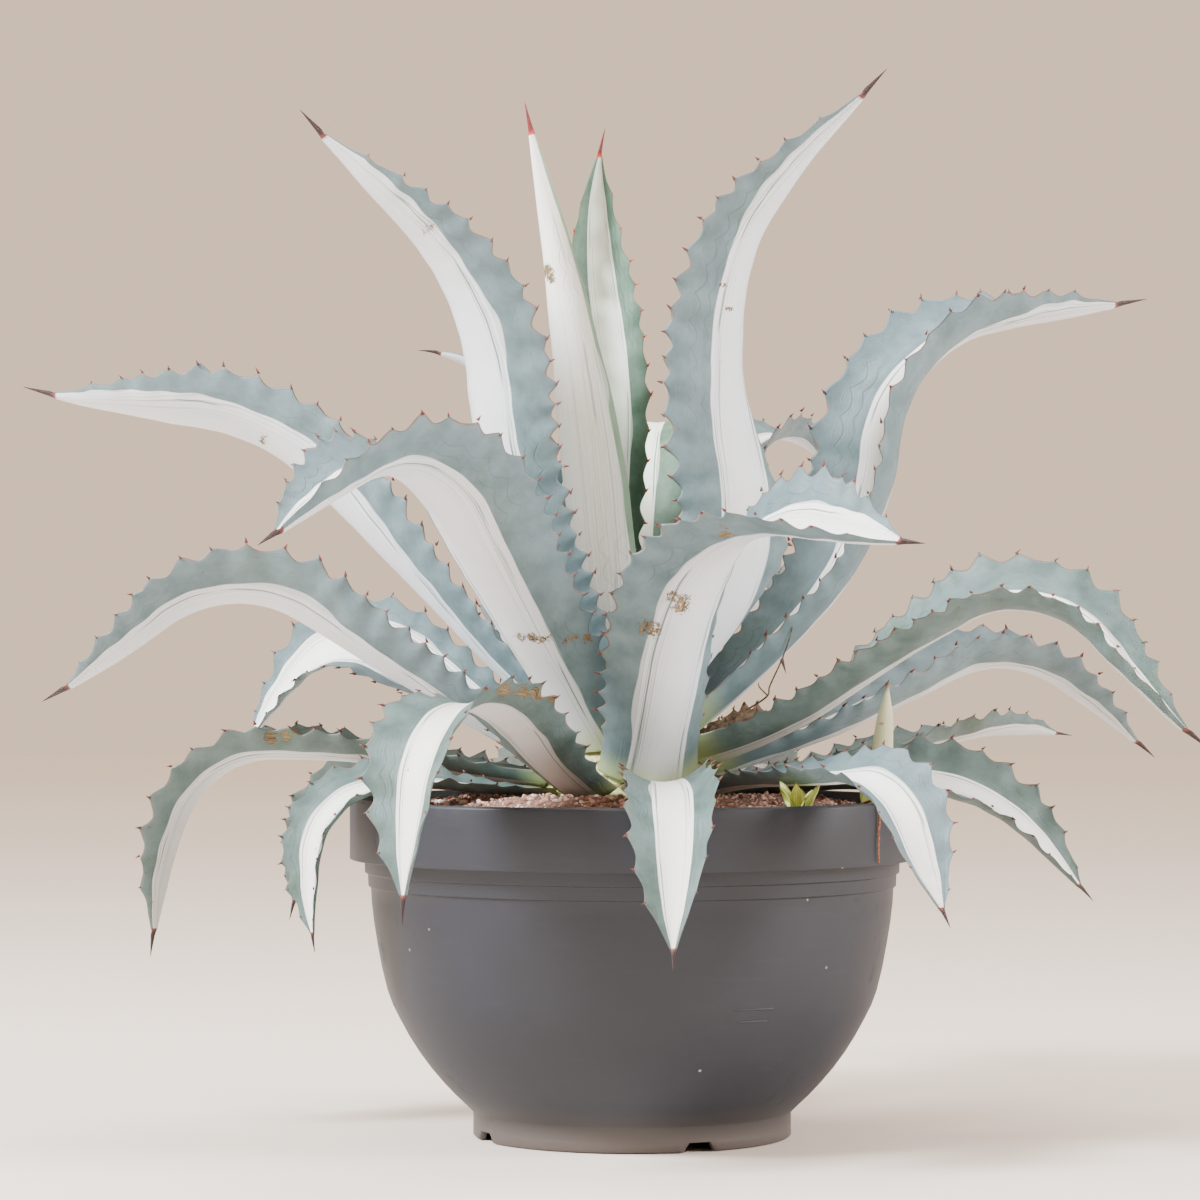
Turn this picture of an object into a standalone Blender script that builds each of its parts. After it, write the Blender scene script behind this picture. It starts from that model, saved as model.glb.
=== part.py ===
"""A variegated agave in a charcoal plastic bowl planter.

The plant is a rosette of thick, channelled leaves that clasp a conical stem (the core). The core stands in a
plain hole in the gravelly soil, and the soil fills the pot. Sizes are real ones, in millimetres, measured from
the pot's axis at the level of its foot; MM turns them into Blender's metres. X runs to the right, -Y towards
the viewer and Z up. The origin is below the middle of the whole plant's box, so the pot's axis stands a little
to one side of it.
"""
import math
from collections import namedtuple

import bmesh
import bpy
from mathutils import Vector

MM = 0.001
WELD = 0.00001

# The pot's axis, measured from the middle of the whole plant's box
POT_X = 25.6
POT_Y = -31.7

# Pot
POT_STEPS = 36
RIM_RADIUS = 177.5
RIM_TOP = 212.0
RIM_BOTTOM = 174.0
FOOT_RADIUS = 100.0
FOOT_INNER = 96.0
FLOOR_UNDER = 8.0
FLOOR_TOP = 11.0
NOTCHES = 4
NOTCH_AZIMUTH = 24.0
NOTCH_WIDTH = 15.0
NOTCH_HEIGHT = 6.0
NOTCH_DEPTH = 20.0
DRAIN_RADIUS = 6.0
DRAIN_AT = 62.0
DRAIN_SIDES = 16

# Soil, and the stem that stands in it
GAP = 0.4
SOIL_TOP = 205.5
SOIL_LUMP = 1.0
LUMPS_FROM = 62.0
LUMPS_TO = 165.0
CORE_STEPS = 32
CORE_RADIUS = 57.0
HOLE_FLOOR = 191.5
CORE_LOW_RADIUS = 56.0
CORE_LOW_Z = 217.0
CORE_TOP_RADIUS = 12.0
CORE_TOP_Z = 294.0

# The spear of rolled young leaves at the middle
SPEAR_LENGTH = 360.0
SPEAR_X = -6.0
SPEAR_STEPS = 16
SPEAR_SIDES = 12
SPEAR_LEAN = (9.0, 8.5, 8.0, 9.5, 12.5, 12.5)
SPEAR_RADIUS_AT = ((0, 9), (.1, 17), (.29, 20), (.37, 19.5), (.47, 17.6), (.54, 15.2), (.65, 12.4), (.83, 6.4),
                   (.945, 2.2), (1, .5))
SPEAR_WRAP = 0.09

# Half width and thickness of a leaf against the share of its length, from base to tip
WIDTH_AT = ((0, .66), (.1, .64), (.3, .82), (.5, 1.0), (.7, .87), (.85, .52), (.93, .2), (1, .03))
THICK_AT = ((0, 6.5), (.3, 5.5), (.6, 4.0), (.85, 2.6), (.94, 2.4), (1, .7))
FULL_WIDTH = 80.0
SEAT_GAP = 0.5
SEAT_UNDER = 8.0
CLEAR_STEP = 0.25
TOOTH = 6.5
TOOTH_WIDTH = 70.0
SPINE_SHARE = 0.055
BASE_SHARE = 0.06
PATH_STEPS = 8

# A leaf's section: its upper points across the half width, then its lower ones with their share of the thickness
UPPER = (-1.0, -0.5, 0.0, 0.5, 1.0)
LOWER = ((0.5, 0.7), (0.0, 1.0), (-0.5, 0.7))
END_FACES = ((0, 1, 7), (1, 2, 7), (2, 6, 7), (2, 3, 6), (3, 5, 6), (3, 4, 5))

# azimuth: degrees anticlockwise from +X, and sweep: how far it turns along the leaf
# steep: climb in degrees at evenly spaced places from the leaf's base to its tip
# length, and width round the blade where it is widest
# seat: share of the way up the core, 0 for the outermost leaves and 1 for the innermost
# roll: turn about the leaf's own line at its base, middle and tip, and fold: half angle of its channel there
# teeth: on each edge
Leaf = namedtuple("Leaf", "name azimuth sweep steep length width seat roll fold teeth")
LEAVES = (
    Leaf("leaf_tall_left", 202, 5, (56, 66, 83, 43, 43), 418, 100, .80, (0, -5, 15), (60, 47, 50), 14),
    Leaf("leaf_tall_right", 334, -2, (52, 55, 84, 102, 92, 76, 51, 44, 41), 440, 102, .74, (0, 31, -2, -10, -25),
         (60, 24, 42, 46, 50), 14),
    Leaf("leaf_high_right", 18, 0, (36, 46, 83, 12, 10), 462, 104, .50, (0, -8, 0), (50, 60, 62), 14),
    Leaf("leaf_high_left", 162, 4, (36, 45, 46, 5, 15), 458, 94, .48, (0, -35, -10), (45, 40, 45), 14),
    Leaf("leaf_arch_left", 230, 0, (50, 47, 50, -24, -28), 374, 104, .37, (0, 0, -15), (50, 60, 60), 13),
    Leaf("leaf_mid_left", 187, -8, (20, 33, 31, -37, -30), 370, 90, .27, (0, -15, -8), (40, 50, 50), 13),
    Leaf("leaf_behind_left", 156, 3, (26, 35, 28, -46, -56), 280, 62, .17, (0, 54, 42), (30, 45, 50), 9),
    Leaf("leaf_low_left", 178, -3, (4, 9, 0, -71, -85), 342, 72, .09, (0, 0, -15), (24, 47, 50), 10),
    Leaf("leaf_kinked_left", 203, -3, (0, 8, -10, -85, -100), 238, 46, .0, (0, 18, 23), (18, 41, 50), 8),
    Leaf("leaf_front_left", 239, 6, (20, 34, -4, -74, -88), 318, 70, .0, (0, -6, -24), (18, 30, 45), 9),
    Leaf("leaf_front_short", 280, -16, (10, 6, -20, -62, -80), 244, 57, .0, (0, -5, -20), (20, 50, 50), 7),
    Leaf("leaf_front_big", 283, 56, (58, 68, 43, -10, -6), 308, 106, .10, (0, -12, -30), (40, 48, 50), 12),
    Leaf("leaf_arch_right", 345, -5, (14, 34, 29, -50, -38), 378, 86, .28, (8, -19, 2), (38, 46, 46), 13),
    Leaf("leaf_mid_right", 21, 2, (14, 19, 25, -30, -40), 356, 82, .16, (0, 0, -24), (30, 54, 54), 11),
    Leaf("leaf_small_right", 36, 4, (0, 4, 12, 5, -9), 334, 51, .06, (0, 0, 28), (20, 49, 50), 9),
    Leaf("leaf_low_right", 3, -3, (4, 5, -6, -44, -50), 264, 60, .0, (0, -33, -32), (24, 47, 50), 9),
    Leaf("leaf_front_right", 315, -8, (14, 2, 4, -63, -55), 260, 59, .0, (0, -12, -8), (26, 42, 45), 9),
    Leaf("leaf_back_tall", 140, 40, (50, 72, 88, 62, 0), 284, 58, .60, (0, 0, 0), (40, 50, 50), 9),
    Leaf("leaf_inner_right", 109, 14, (36, 82, 92, 84, 74, 94, 116), 362, 58, .98, (10, 18, 5),
         (60, 60, 60), 10),
    Leaf("leaf_back_left", 114, 5, (50, 54, 50, 25, 0), 350, 78, .28, (0, 0, 0), (34, 50, 50), 11),
    Leaf("leaf_back_right_high", 60, -6, (50, 62, 60, 10, -35), 318, 72, .66, (0, 0, 0), (48, 50, 50), 10),
    Leaf("leaf_back_high", 84, 0, (60, 66, 55, 0, -30), 330, 70, .76, (0, 0, 0), (50, 50, 50), 10),
    Leaf("leaf_back_mid", 106, 0, (30, 42, 25, -20, -50), 330, 80, .16, (0, 0, 0), (35, 50, 50), 10),
    Leaf("leaf_back_mid_right", 70, -2, (34, 42, 20, -25, -50), 320, 70, .42, (0, 0, 0), (38, 50, 50), 10),
    Leaf("leaf_back_low_right", 67, -2, (5, 10, -8, -60, -75), 280, 60, .0, (0, 0, 0), (20, 50, 50), 8),
    Leaf("leaf_back_low", 107, 0, (5, 8, -5, -60, -75), 270, 62, .0, (0, 0, 0), (20, 50, 50), 8),
    Leaf("leaf_back_low_left", 146, 0, (5, 8, -8, -60, -75), 275, 60, .0, (0, 0, 0), (28, 50, 50), 8),
)
DEAD_LEAF = Leaf("dead_leaf", 27, -4, (18, 16, 10, 0, -20), 66, 34, .37, (0, 15, 40), (30, 60, 80), 4)

# Dry wiry stalk on the dead leaf: points from its root to its tip, and its side branch
STALK_THICK = 1.3
STALK = ((62, 30, 256), (66, 28, 262), (85, 20, 274.5), (87.5, 16, 282), (94.5, 9, 298), (99, 3, 311),
         (101, 0, 319))
STALK_BRANCH = ((86, 19, 276), (81, 15, 281), (80, 12, 284))
STALK_TAPER = 0.3

# Dry root that hangs over the rim: radius, azimuth and height of points from the soil outwards
ROOT_THICK = 2.4
ROOT_TAPER = 0.5
ROOT = ((156, -34.6, 207.6), (168, -34.3, 211.4), (173.8, -34.0, 213.7), (177.3, -33.9, 213.2),
        (178.8, -33.9, 210.4), (178.8, -33.8, 200), (178.7, -34.1, 188), (178.6, -33.9, 176))

# Small offsets: place of each in the soil, turn of its first blade, lean and width, and the blades' lengths
Pup = namedtuple("Pup", "name x y turn lean width lengths")
PUPS = (
    Pup("pup_front", 99, -124, 20, 40, 9, (23, 19, 25, 21, 23, 18)),
    Pup("pup_right", 151, -32, 62, 15, 15, (82, 16, 24, 14)),
)
PUP_STEPS = 5
PUP_SIDES = 8
PUP_BULB = 7.0
PUP_DEPTH = 7.0
PUP_CROWN = 6.0
PUP_START = 1.7
PUP_RISE = 0.3
PUP_WIDTH_AT = ((0, .7), (.3, 1), (.7, .75), (1, .08))
PUP_THICK_AT = ((0, 2.2), (.7, 1.4), (1, .5))
PUP_KEEL = 0.35
PUP_HOLE_GAP = 0.7
PUP_HOLE_TOP = 19.0

COLOURS = {
    "pot": ((0.095, 0.088, 0.090), 0.55),
    "soil": ((0.30, 0.15, 0.10), 0.95),
    "core": ((0.42, 0.45, 0.22), 0.70),
    "leaf": ((0.36, 0.47, 0.46), 0.50),
    "spear": ((0.72, 0.76, 0.68), 0.45),
    "dead": ((0.10, 0.08, 0.06), 0.90),
    "root": ((0.22, 0.10, 0.06), 0.85),
    "pup": ((0.45, 0.55, 0.18), 0.55),
}


# Scene helpers

def clear_scene():
    for item in list(bpy.data.objects):
        bpy.data.objects.remove(item, do_unlink=True)


def new_collection(name):
    made = bpy.data.collections.new(name)
    bpy.context.scene.collection.children.link(made)
    return made


def new_material(name, kind):
    colour, roughness = COLOURS[kind]
    material = bpy.data.materials.new(name)
    material.use_nodes = True
    shader = material.node_tree.nodes["Principled BSDF"]
    shader.inputs["Base Color"].default_value = (*colour, 1.0)
    shader.inputs["Roughness"].default_value = roughness
    shader.inputs["Metallic"].default_value = 0.0
    return material


def new_object(name, mesh, collection, kind=None, parent=None):
    made = bpy.data.objects.new(name, mesh)
    collection.objects.link(made)
    made.parent = parent
    if kind:
        mesh.materials.append(new_material(name + "_material", kind))
    return made


def mesh_from(bm, name, sharp_degrees=None):
    """Finish a bmesh whose sizes are millimetres as a mesh in metres."""
    bmesh.ops.scale(bm, vec=(MM, MM, MM), verts=bm.verts)
    bmesh.ops.recalc_face_normals(bm, faces=bm.faces)
    mesh = bpy.data.meshes.new(name)
    bm.to_mesh(mesh)
    bm.free()
    if sharp_degrees:
        mesh.shade_smooth()
        mesh.set_sharp_from_angle(angle=math.radians(sharp_degrees))
    return mesh


def baked(item):
    """Replace an object's mesh by its evaluated one, without its modifiers."""
    bpy.context.view_layer.update()
    graph = bpy.context.evaluated_depsgraph_get()
    mesh = bpy.data.meshes.new_from_object(item.evaluated_get(graph))
    item.modifiers.clear()
    item.data = mesh
    return mesh


def at(table, share):
    """Value of a table of (share, value) pairs at a share, with straight runs between them."""
    for (x0, y0), (x1, y1) in zip(table, table[1:]):
        if share <= x1:
            return y0 + (y1 - y0) * (share - x0) / (x1 - x0)
    return table[-1][1]


def spread(values, share):
    """Value at a share along values that are spaced evenly."""
    return at([(i / (len(values) - 1), v) for i, v in enumerate(values)], share)


# Turned pieces

def turned(name, profile, steps, collection, kind, parent):
    """Object turned about the pot's axis by a Screw, from a profile of (radius, height) that ends on it."""
    mesh = bpy.data.meshes.new(name)
    points = [(r * MM, 0.0, z * MM) for r, z in profile]
    mesh.from_pydata(points, [(i, i + 1) for i in range(len(points) - 1)], [])
    made = new_object(name, mesh, collection, kind, parent)
    screw = made.modifiers.new("Screw", "SCREW")
    screw.axis = "Z"
    screw.angle = math.radians(360)
    screw.steps = steps
    screw.render_steps = steps
    screw.use_merge_vertices = True
    screw.merge_threshold = WELD
    screw.use_smooth_shade = True
    return made


def bowl_outside():
    """Outer side of the bowl below its ledges, top to bottom."""
    return [(163.8, 147), (160, 120), (154, 92), (146, 73.5), (134, 53), (119, 34), (105, 20)]


def pot_profile():
    inside = [(0, FLOOR_TOP), (FOOT_INNER, FLOOR_TOP), (103, 22.5), (117, 36.5), (131.7, 54.5), (143.6, 74.5),
              (151.5, 92.8), (157.4, 120.5), (161.2, 147), (165.4, RIM_BOTTOM), (169, 190), (172, 206)]
    rim = [(173.5, RIM_TOP), (176, RIM_TOP), (RIM_RADIUS, RIM_TOP - 1.5), (RIM_RADIUS, RIM_BOTTOM),
           (175, RIM_BOTTOM), (175, 190), (171.6, 190)]
    ledges = [(168.2, RIM_BOTTOM), (168, 165.5), (166.2, 165), (165.9, 157), (164.3, 156.5)]
    foot = [(101.5, 16.5), (FOOT_RADIUS, 15), (FOOT_RADIUS, 1), (FOOT_RADIUS - 1, 0), (FOOT_INNER, 0),
            (FOOT_INNER - 1, FLOOR_UNDER), (0, FLOOR_UNDER)]
    return inside + rim + ledges + bowl_outside() + foot


def cut(item, cutter):
    boolean = item.modifiers.new("Cut", "BOOLEAN")
    boolean.operation = "DIFFERENCE"
    boolean.solver = "EXACT"
    boolean.object = cutter
    cutter.hide_render = True
    cutter.display_type = "WIRE"


def make_pot(collection, cutters, parent):
    pot = turned("pot", pot_profile(), POT_STEPS, collection, "pot", parent)
    bm = bmesh.new()
    for i in range(NOTCHES):
        turn = math.radians(NOTCH_AZIMUTH + i * 360 / NOTCHES)
        notch = bmesh.ops.create_cube(bm, size=1.0)["verts"]
        bmesh.ops.scale(bm, vec=(NOTCH_DEPTH, NOTCH_WIDTH, 2 * NOTCH_HEIGHT), verts=notch)
        bmesh.ops.translate(bm, vec=(FOOT_RADIUS - 2, 0, 0), verts=notch)
        hole = bmesh.ops.create_cone(bm, cap_ends=True, segments=DRAIN_SIDES, radius1=DRAIN_RADIUS,
                                     radius2=DRAIN_RADIUS, depth=FLOOR_TOP)["verts"]
        bmesh.ops.translate(bm, vec=(DRAIN_AT, 0, FLOOR_TOP), verts=hole)
        turned_by = math.cos(turn), math.sin(turn)
        for vert in notch + hole:
            x, y = vert.co.x, vert.co.y
            vert.co.x = x * turned_by[0] - y * turned_by[1]
            vert.co.y = x * turned_by[1] + y * turned_by[0]
    cutter = new_object("pot_cutter", mesh_from(bm, "pot_cutter"), cutters, parent=parent)
    cut(pot, cutter)


def soil_profile():
    """From the floor of the stem's hole, over the surface and down inside the pot."""
    hole = CORE_RADIUS + GAP
    top = [(hole, SOIL_TOP + 2), (80, SOIL_TOP + 1.5), (112, SOIL_TOP + 1), (142, SOIL_TOP), (171.2, SOIL_TOP - 3)]
    wall = [(172, 206), (169, 190), (165.4, RIM_BOTTOM), (161.2, 147), (157.4, 120.5), (151.5, 92.8),
            (143.6, 74.5), (131.7, 54.5), (117, 36.5), (103, 22.5), (FOOT_INNER, FLOOR_TOP)]
    side = [(r - GAP * 1.3, z + GAP * 0.4) for r, z in wall[1:]]
    floor = FLOOR_TOP + GAP
    return [(0, HOLE_FLOOR), (hole, HOLE_FLOOR)] + top + side[:-1] + [(FOOT_INNER - 1, floor), (0, floor)]


def make_soil(collection, parent):
    soil = turned("soil", soil_profile(), POT_STEPS, collection, "soil", parent)
    mesh = baked(soil)
    for vert in mesh.vertices:
        radius = math.hypot(vert.co.x, vert.co.y) / MM
        if vert.co.z > (SOIL_TOP - 1) * MM and LUMPS_FROM < radius < LUMPS_TO:
            turn = math.atan2(vert.co.y, vert.co.x)
            vert.co.z += MM * SOIL_LUMP * math.sin(7 * turn + radius * 0.21) * math.cos(5 * turn - radius * 0.13)


def core_radius(height):
    rise = (height - CORE_LOW_Z) / (CORE_TOP_Z - CORE_LOW_Z)
    return CORE_LOW_RADIUS + (CORE_TOP_RADIUS - CORE_LOW_RADIUS) * rise


def make_core(collection, parent):
    profile = [(0, CORE_TOP_Z + 1), (CORE_TOP_RADIUS - 2, CORE_TOP_Z + 1), (CORE_TOP_RADIUS, CORE_TOP_Z),
               (CORE_LOW_RADIUS, CORE_LOW_Z), (CORE_RADIUS, 212), (CORE_RADIUS, HOLE_FLOOR + GAP),
               (0, HOLE_FLOOR + GAP)]
    turned("core", profile, CORE_STEPS, collection, "core", parent)


# Leaves

def leaf_stations(leaf, count):
    """Share, place, direction, side and upward normal at evenly spaced stations, from base to tip."""
    seat_radius = CORE_LOW_RADIUS + (CORE_TOP_RADIUS - CORE_LOW_RADIUS) * leaf.seat + SEAT_GAP
    seat_height = CORE_LOW_Z + (CORE_TOP_Z - CORE_LOW_Z) * leaf.seat
    start = math.radians(leaf.azimuth)
    place = Vector((seat_radius * math.cos(start), seat_radius * math.sin(start), seat_height))
    fine = count * PATH_STEPS
    stations = []
    last = None
    for i in range(fine + 1):
        share = i / fine
        climb = math.radians(spread(leaf.steep, share))
        azimuth = math.radians(leaf.azimuth + leaf.sweep * share)
        flat = math.cos(climb)
        direction = Vector((flat * math.cos(azimuth), flat * math.sin(azimuth), math.sin(climb)))
        if last is not None:
            place = place + (direction + last) * (0.5 * leaf.length / fine)
        last = direction
        if i % PATH_STEPS == 0:
            side = Vector((math.sin(azimuth), -math.cos(azimuth), 0.0))
            normal = side.cross(direction)
            roll = math.radians(spread(leaf.roll, share))
            rolled = side * math.cos(roll) + normal * math.sin(roll)
            stations.append((share, place, direction, rolled, normal * math.cos(roll) - side * math.sin(roll)))
    return stations


def leaf_section(leaf, share, left_tooth, right_tooth):
    """Points of the section across a leaf as (side, up): a channel above and a thicker keel below."""
    half = leaf.width / 2 * at(WIDTH_AT, share)
    fold = math.radians(spread(leaf.fold, share))
    radius = half / fold
    thick = at(THICK_AT, share) * min(1.0, leaf.width / FULL_WIDTH)
    points = []
    for across in UPPER:
        turn = across * fold
        reach = {-1.0: -left_tooth, 1.0: right_tooth}.get(across, 0.0)
        points.append((radius * math.sin(turn) + reach * math.cos(turn),
                       radius * (1 - math.cos(turn)) + abs(reach) * math.sin(abs(turn))))
    for across, part in LOWER:
        turn = across * fold
        points.append((radius * math.sin(turn) + part * thick * math.sin(turn),
                       radius * (1 - math.cos(turn)) - part * thick * math.cos(turn)))
    return points


def clear_of_core(point, direction):
    """Point moved out along a leaf's direction until it is clear of the core."""
    while math.hypot(point.x, point.y) < core_radius(point.z) + SEAT_GAP and point.z > CORE_LOW_Z - SEAT_UNDER:
        point = point + direction * CLEAR_STEP
    return point


def leaf_rings(leaf):
    tooth = TOOTH * min(1.0, math.sqrt(leaf.width / TOOTH_WIDTH))
    rings = []
    for i, (share, place, direction, side, up) in enumerate(leaf_stations(leaf, 2 * leaf.teeth)):
        toothed = BASE_SHARE < share < 1 - SPINE_SHARE
        left = tooth if toothed and i % 2 == 0 else 0.0
        right = tooth if toothed and i % 2 == 1 else 0.0
        ring = [place + side * x + up * z for x, z in leaf_section(leaf, share, left, right)]
        if i == 0:
            ring = [clear_of_core(point, direction) for point in ring]
        rings.append(ring)
    return rings


def loft(bm, rings, end_faces):
    """Skin between unlike rings of equally many points, split alike all round, with closed ends."""
    verts = [[bm.verts.new(point) for point in ring] for ring in rings]
    count = len(rings[0])
    for near, far in zip(verts, verts[1:]):
        for j in range(count):
            k = (j + 1) % count
            bm.faces.new((near[j], near[k], far[k]))
            bm.faces.new((near[j], far[k], far[j]))
    for corners in end_faces:
        bm.faces.new([verts[0][j] for j in reversed(corners)])
        bm.faces.new([verts[-1][j] for j in corners])


def make_leaf(leaf, collection, parent, kind="leaf"):
    bm = bmesh.new()
    loft(bm, leaf_rings(leaf), END_FACES)
    return new_object(leaf.name, mesh_from(bm, leaf.name, 50), collection, kind, parent)


def fan(count):
    """Faces of a flat end with that many points."""
    return [(0, j, j + 1) for j in range(1, count - 1)]


def make_spear(collection, parent):
    """Rolled young leaves: a tapering spear whose outer leaf overlaps itself along a seam."""
    place = Vector((SPEAR_X, 0.0, CORE_TOP_Z + 1 + GAP))
    rings = []
    for i in range(SPEAR_STEPS + 1):
        share = i / SPEAR_STEPS
        lean = math.radians(spread(SPEAR_LEAN, share))
        direction = Vector((-math.sin(lean), 0.0, math.cos(lean)))
        if i:
            place = place + direction * (SPEAR_LENGTH / SPEAR_STEPS)
        side = Vector((direction.z, 0.0, -direction.x)) if i else Vector((1.0, 0.0, 0.0))
        radius = at(SPEAR_RADIUS_AT, share)
        wrap = SPEAR_WRAP if 0 < i < SPEAR_STEPS else 0.0
        ring = []
        for j in range(SPEAR_SIDES):
            turn = 2 * math.pi * j / SPEAR_SIDES
            grown = radius * (1 + wrap * j / (SPEAR_SIDES - 1))
            ring.append(place + side * (grown * math.cos(turn)) + Vector((0.0, grown * math.sin(turn), 0.0)))
        rings.append(ring)
    bm = bmesh.new()
    loft(bm, rings, fan(SPEAR_SIDES))
    new_object("spear", mesh_from(bm, "spear", 60), collection, "spear", parent)


# Small dry pieces and offsets

def wire(name, points, thickness, taper, collection, parent):
    """Thin stem: a curve through points that gets thinner towards its end."""
    curve = bpy.data.curves.new(name, "CURVE")
    curve.dimensions = "3D"
    curve.bevel_depth = thickness / 2 * MM
    curve.bevel_resolution = 2
    curve.use_fill_caps = True
    spline = curve.splines.new("POLY")
    spline.points.add(len(points) - 1)
    for i, (x, y, z) in enumerate(points):
        spline.points[i].co = (x * MM, y * MM, z * MM, 1.0)
        spline.points[i].radius = 1 - taper * i / (len(points) - 1)
    made = bpy.data.objects.new(name, curve)
    collection.objects.link(made)
    made.parent = parent
    return made


def as_mesh(item, collection):
    """Mesh object in place of a curve object, with its caps welded."""
    bpy.context.view_layer.update()
    graph = bpy.context.evaluated_depsgraph_get()
    mesh = bpy.data.meshes.new_from_object(item.evaluated_get(graph))
    bm = bmesh.new()
    bm.from_mesh(mesh)
    bmesh.ops.remove_doubles(bm, verts=bm.verts, dist=WELD)
    bmesh.ops.recalc_face_normals(bm, faces=bm.faces)
    bm.to_mesh(mesh)
    bm.free()
    mesh.materials.clear()
    made = new_object(item.name + "_mesh", mesh, collection)
    made.matrix_world = item.matrix_world.copy()
    bpy.data.objects.remove(item, do_unlink=True)
    return made


def join(item, others):
    """Join a collection's objects to one by a Boolean union, apply it and remove them."""
    union = item.modifiers.new("Join", "BOOLEAN")
    union.operation = "UNION"
    union.solver = "EXACT"
    union.operand_type = "COLLECTION"
    union.collection = others
    baked(item)
    for other in list(others.objects):
        bpy.data.objects.remove(other, do_unlink=True)
    bpy.data.collections.remove(others)


def make_dead_leaf(collection, parent):
    dead = make_leaf(DEAD_LEAF, collection, parent, "dead")
    stalks = new_collection("dead_leaf_stalks")
    for name, points in (("stalk", STALK), ("stalk_branch", STALK_BRANCH)):
        as_mesh(wire(name, points, STALK_THICK, STALK_TAPER, stalks, parent), stalks)
    join(dead, stalks)


def make_root(collection, parent):
    turns = [(r, math.radians(azimuth), z) for r, azimuth, z in ROOT]
    points = [(r * math.cos(turn), r * math.sin(turn), z) for r, turn, z in turns]
    root = wire("dry_root", points, ROOT_THICK, ROOT_TAPER, collection, parent)
    root.data.materials.append(new_material("dry_root_material", "root"))


def pup_blade(pup, index):
    """Curved, pointed blade of an offset, from inside its bulb outwards."""
    turn = math.radians(pup.turn + 360 * index / len(pup.lengths))
    outward = Vector((math.cos(turn), math.sin(turn), 0.0))
    side = Vector((-math.sin(turn), math.cos(turn), 0.0))
    place = Vector((pup.x, pup.y, SOIL_TOP + index * PUP_RISE)) + outward * PUP_START
    rings = []
    for i in range(PUP_STEPS + 1):
        share = i / PUP_STEPS
        lean = math.radians(pup.lean * (0.35 + 0.9 * share))
        direction = outward * math.sin(lean) + Vector((0.0, 0.0, math.cos(lean)))
        if i:
            place = place + direction * (pup.lengths[index] / PUP_STEPS)
        normal = side.cross(direction)
        half = pup.width / 2 * at(PUP_WIDTH_AT, share)
        thick = at(PUP_THICK_AT, share)
        edge = normal * (half * PUP_KEEL)
        ring = [edge - side * half, normal * thick, edge + side * half, normal * -thick]
        rings.append([place + offset for offset in ring])
    bm = bmesh.new()
    loft(bm, rings, ((0, 1, 3), (1, 2, 3)))
    return mesh_from(bm, pup.name)


def make_pup(pup, collection, parent):
    """Offset: a bulb that stands in a plain hole in the soil, with its blades fused to it."""
    bm = bmesh.new()
    height = PUP_DEPTH + PUP_CROWN
    made = bmesh.ops.create_cone(bm, cap_ends=True, segments=PUP_SIDES, radius1=PUP_BULB, radius2=PUP_BULB / 2,
                                 depth=height)["verts"]
    bmesh.ops.translate(bm, vec=(pup.x, pup.y, SOIL_TOP - PUP_DEPTH + height / 2), verts=made)
    bulb = new_object(pup.name, mesh_from(bm, pup.name), collection, "pup", parent)
    blades = new_collection(pup.name + "_blades")
    for i in range(len(pup.lengths)):
        new_object(f"{pup.name}_blade_{i}", pup_blade(pup, i), blades, parent=parent)
    join(bulb, blades)


def cut_pup_holes(soil, cutters, parent):
    bm = bmesh.new()
    for pup in PUPS:
        hole = bmesh.ops.create_cone(bm, cap_ends=True, segments=PUP_SIDES, radius1=PUP_BULB + PUP_HOLE_GAP,
                                     radius2=PUP_BULB + PUP_HOLE_GAP, depth=2 * PUP_HOLE_TOP)["verts"]
        bmesh.ops.translate(bm, vec=(pup.x, pup.y, SOIL_TOP - PUP_DEPTH - GAP + PUP_HOLE_TOP), verts=hole)
    cutter = new_object("soil_cutter", mesh_from(bm, "soil_cutter"), cutters, parent=parent)
    cut(soil, cutter)


def main():
    clear_scene()
    collection = new_collection("potted_variegated_agave")
    cutters = new_collection("cutters")
    axis = bpy.data.objects.new("pot_axis", None)
    axis.location = (POT_X * MM, POT_Y * MM, 0.0)
    collection.objects.link(axis)
    make_pot(collection, cutters, axis)
    make_soil(collection, axis)
    make_core(collection, axis)
    make_spear(collection, axis)
    for leaf in LEAVES:
        make_leaf(leaf, collection, axis)
    make_dead_leaf(collection, axis)
    make_root(collection, axis)
    for pup in PUPS:
        make_pup(pup, collection, axis)
    cut_pup_holes(bpy.data.objects["soil"], cutters, axis)


main()
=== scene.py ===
# %% [markdown]
# # A potted variegated agave
# The plant is a rosette: thick channelled leaves that clasp a short stem, with a spear of rolled young leaves
# in the middle. It grows in gritty soil in a round charcoal planter. Every leaf is the same surface, bent by
# its own row of numbers, so one helper makes them all and the looks come from one leaf finish.

# %% Load the frame
import math
import random
from collections import namedtuple

import bmesh
import bpy
from mathutils import Matrix, Vector, noise

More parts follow.
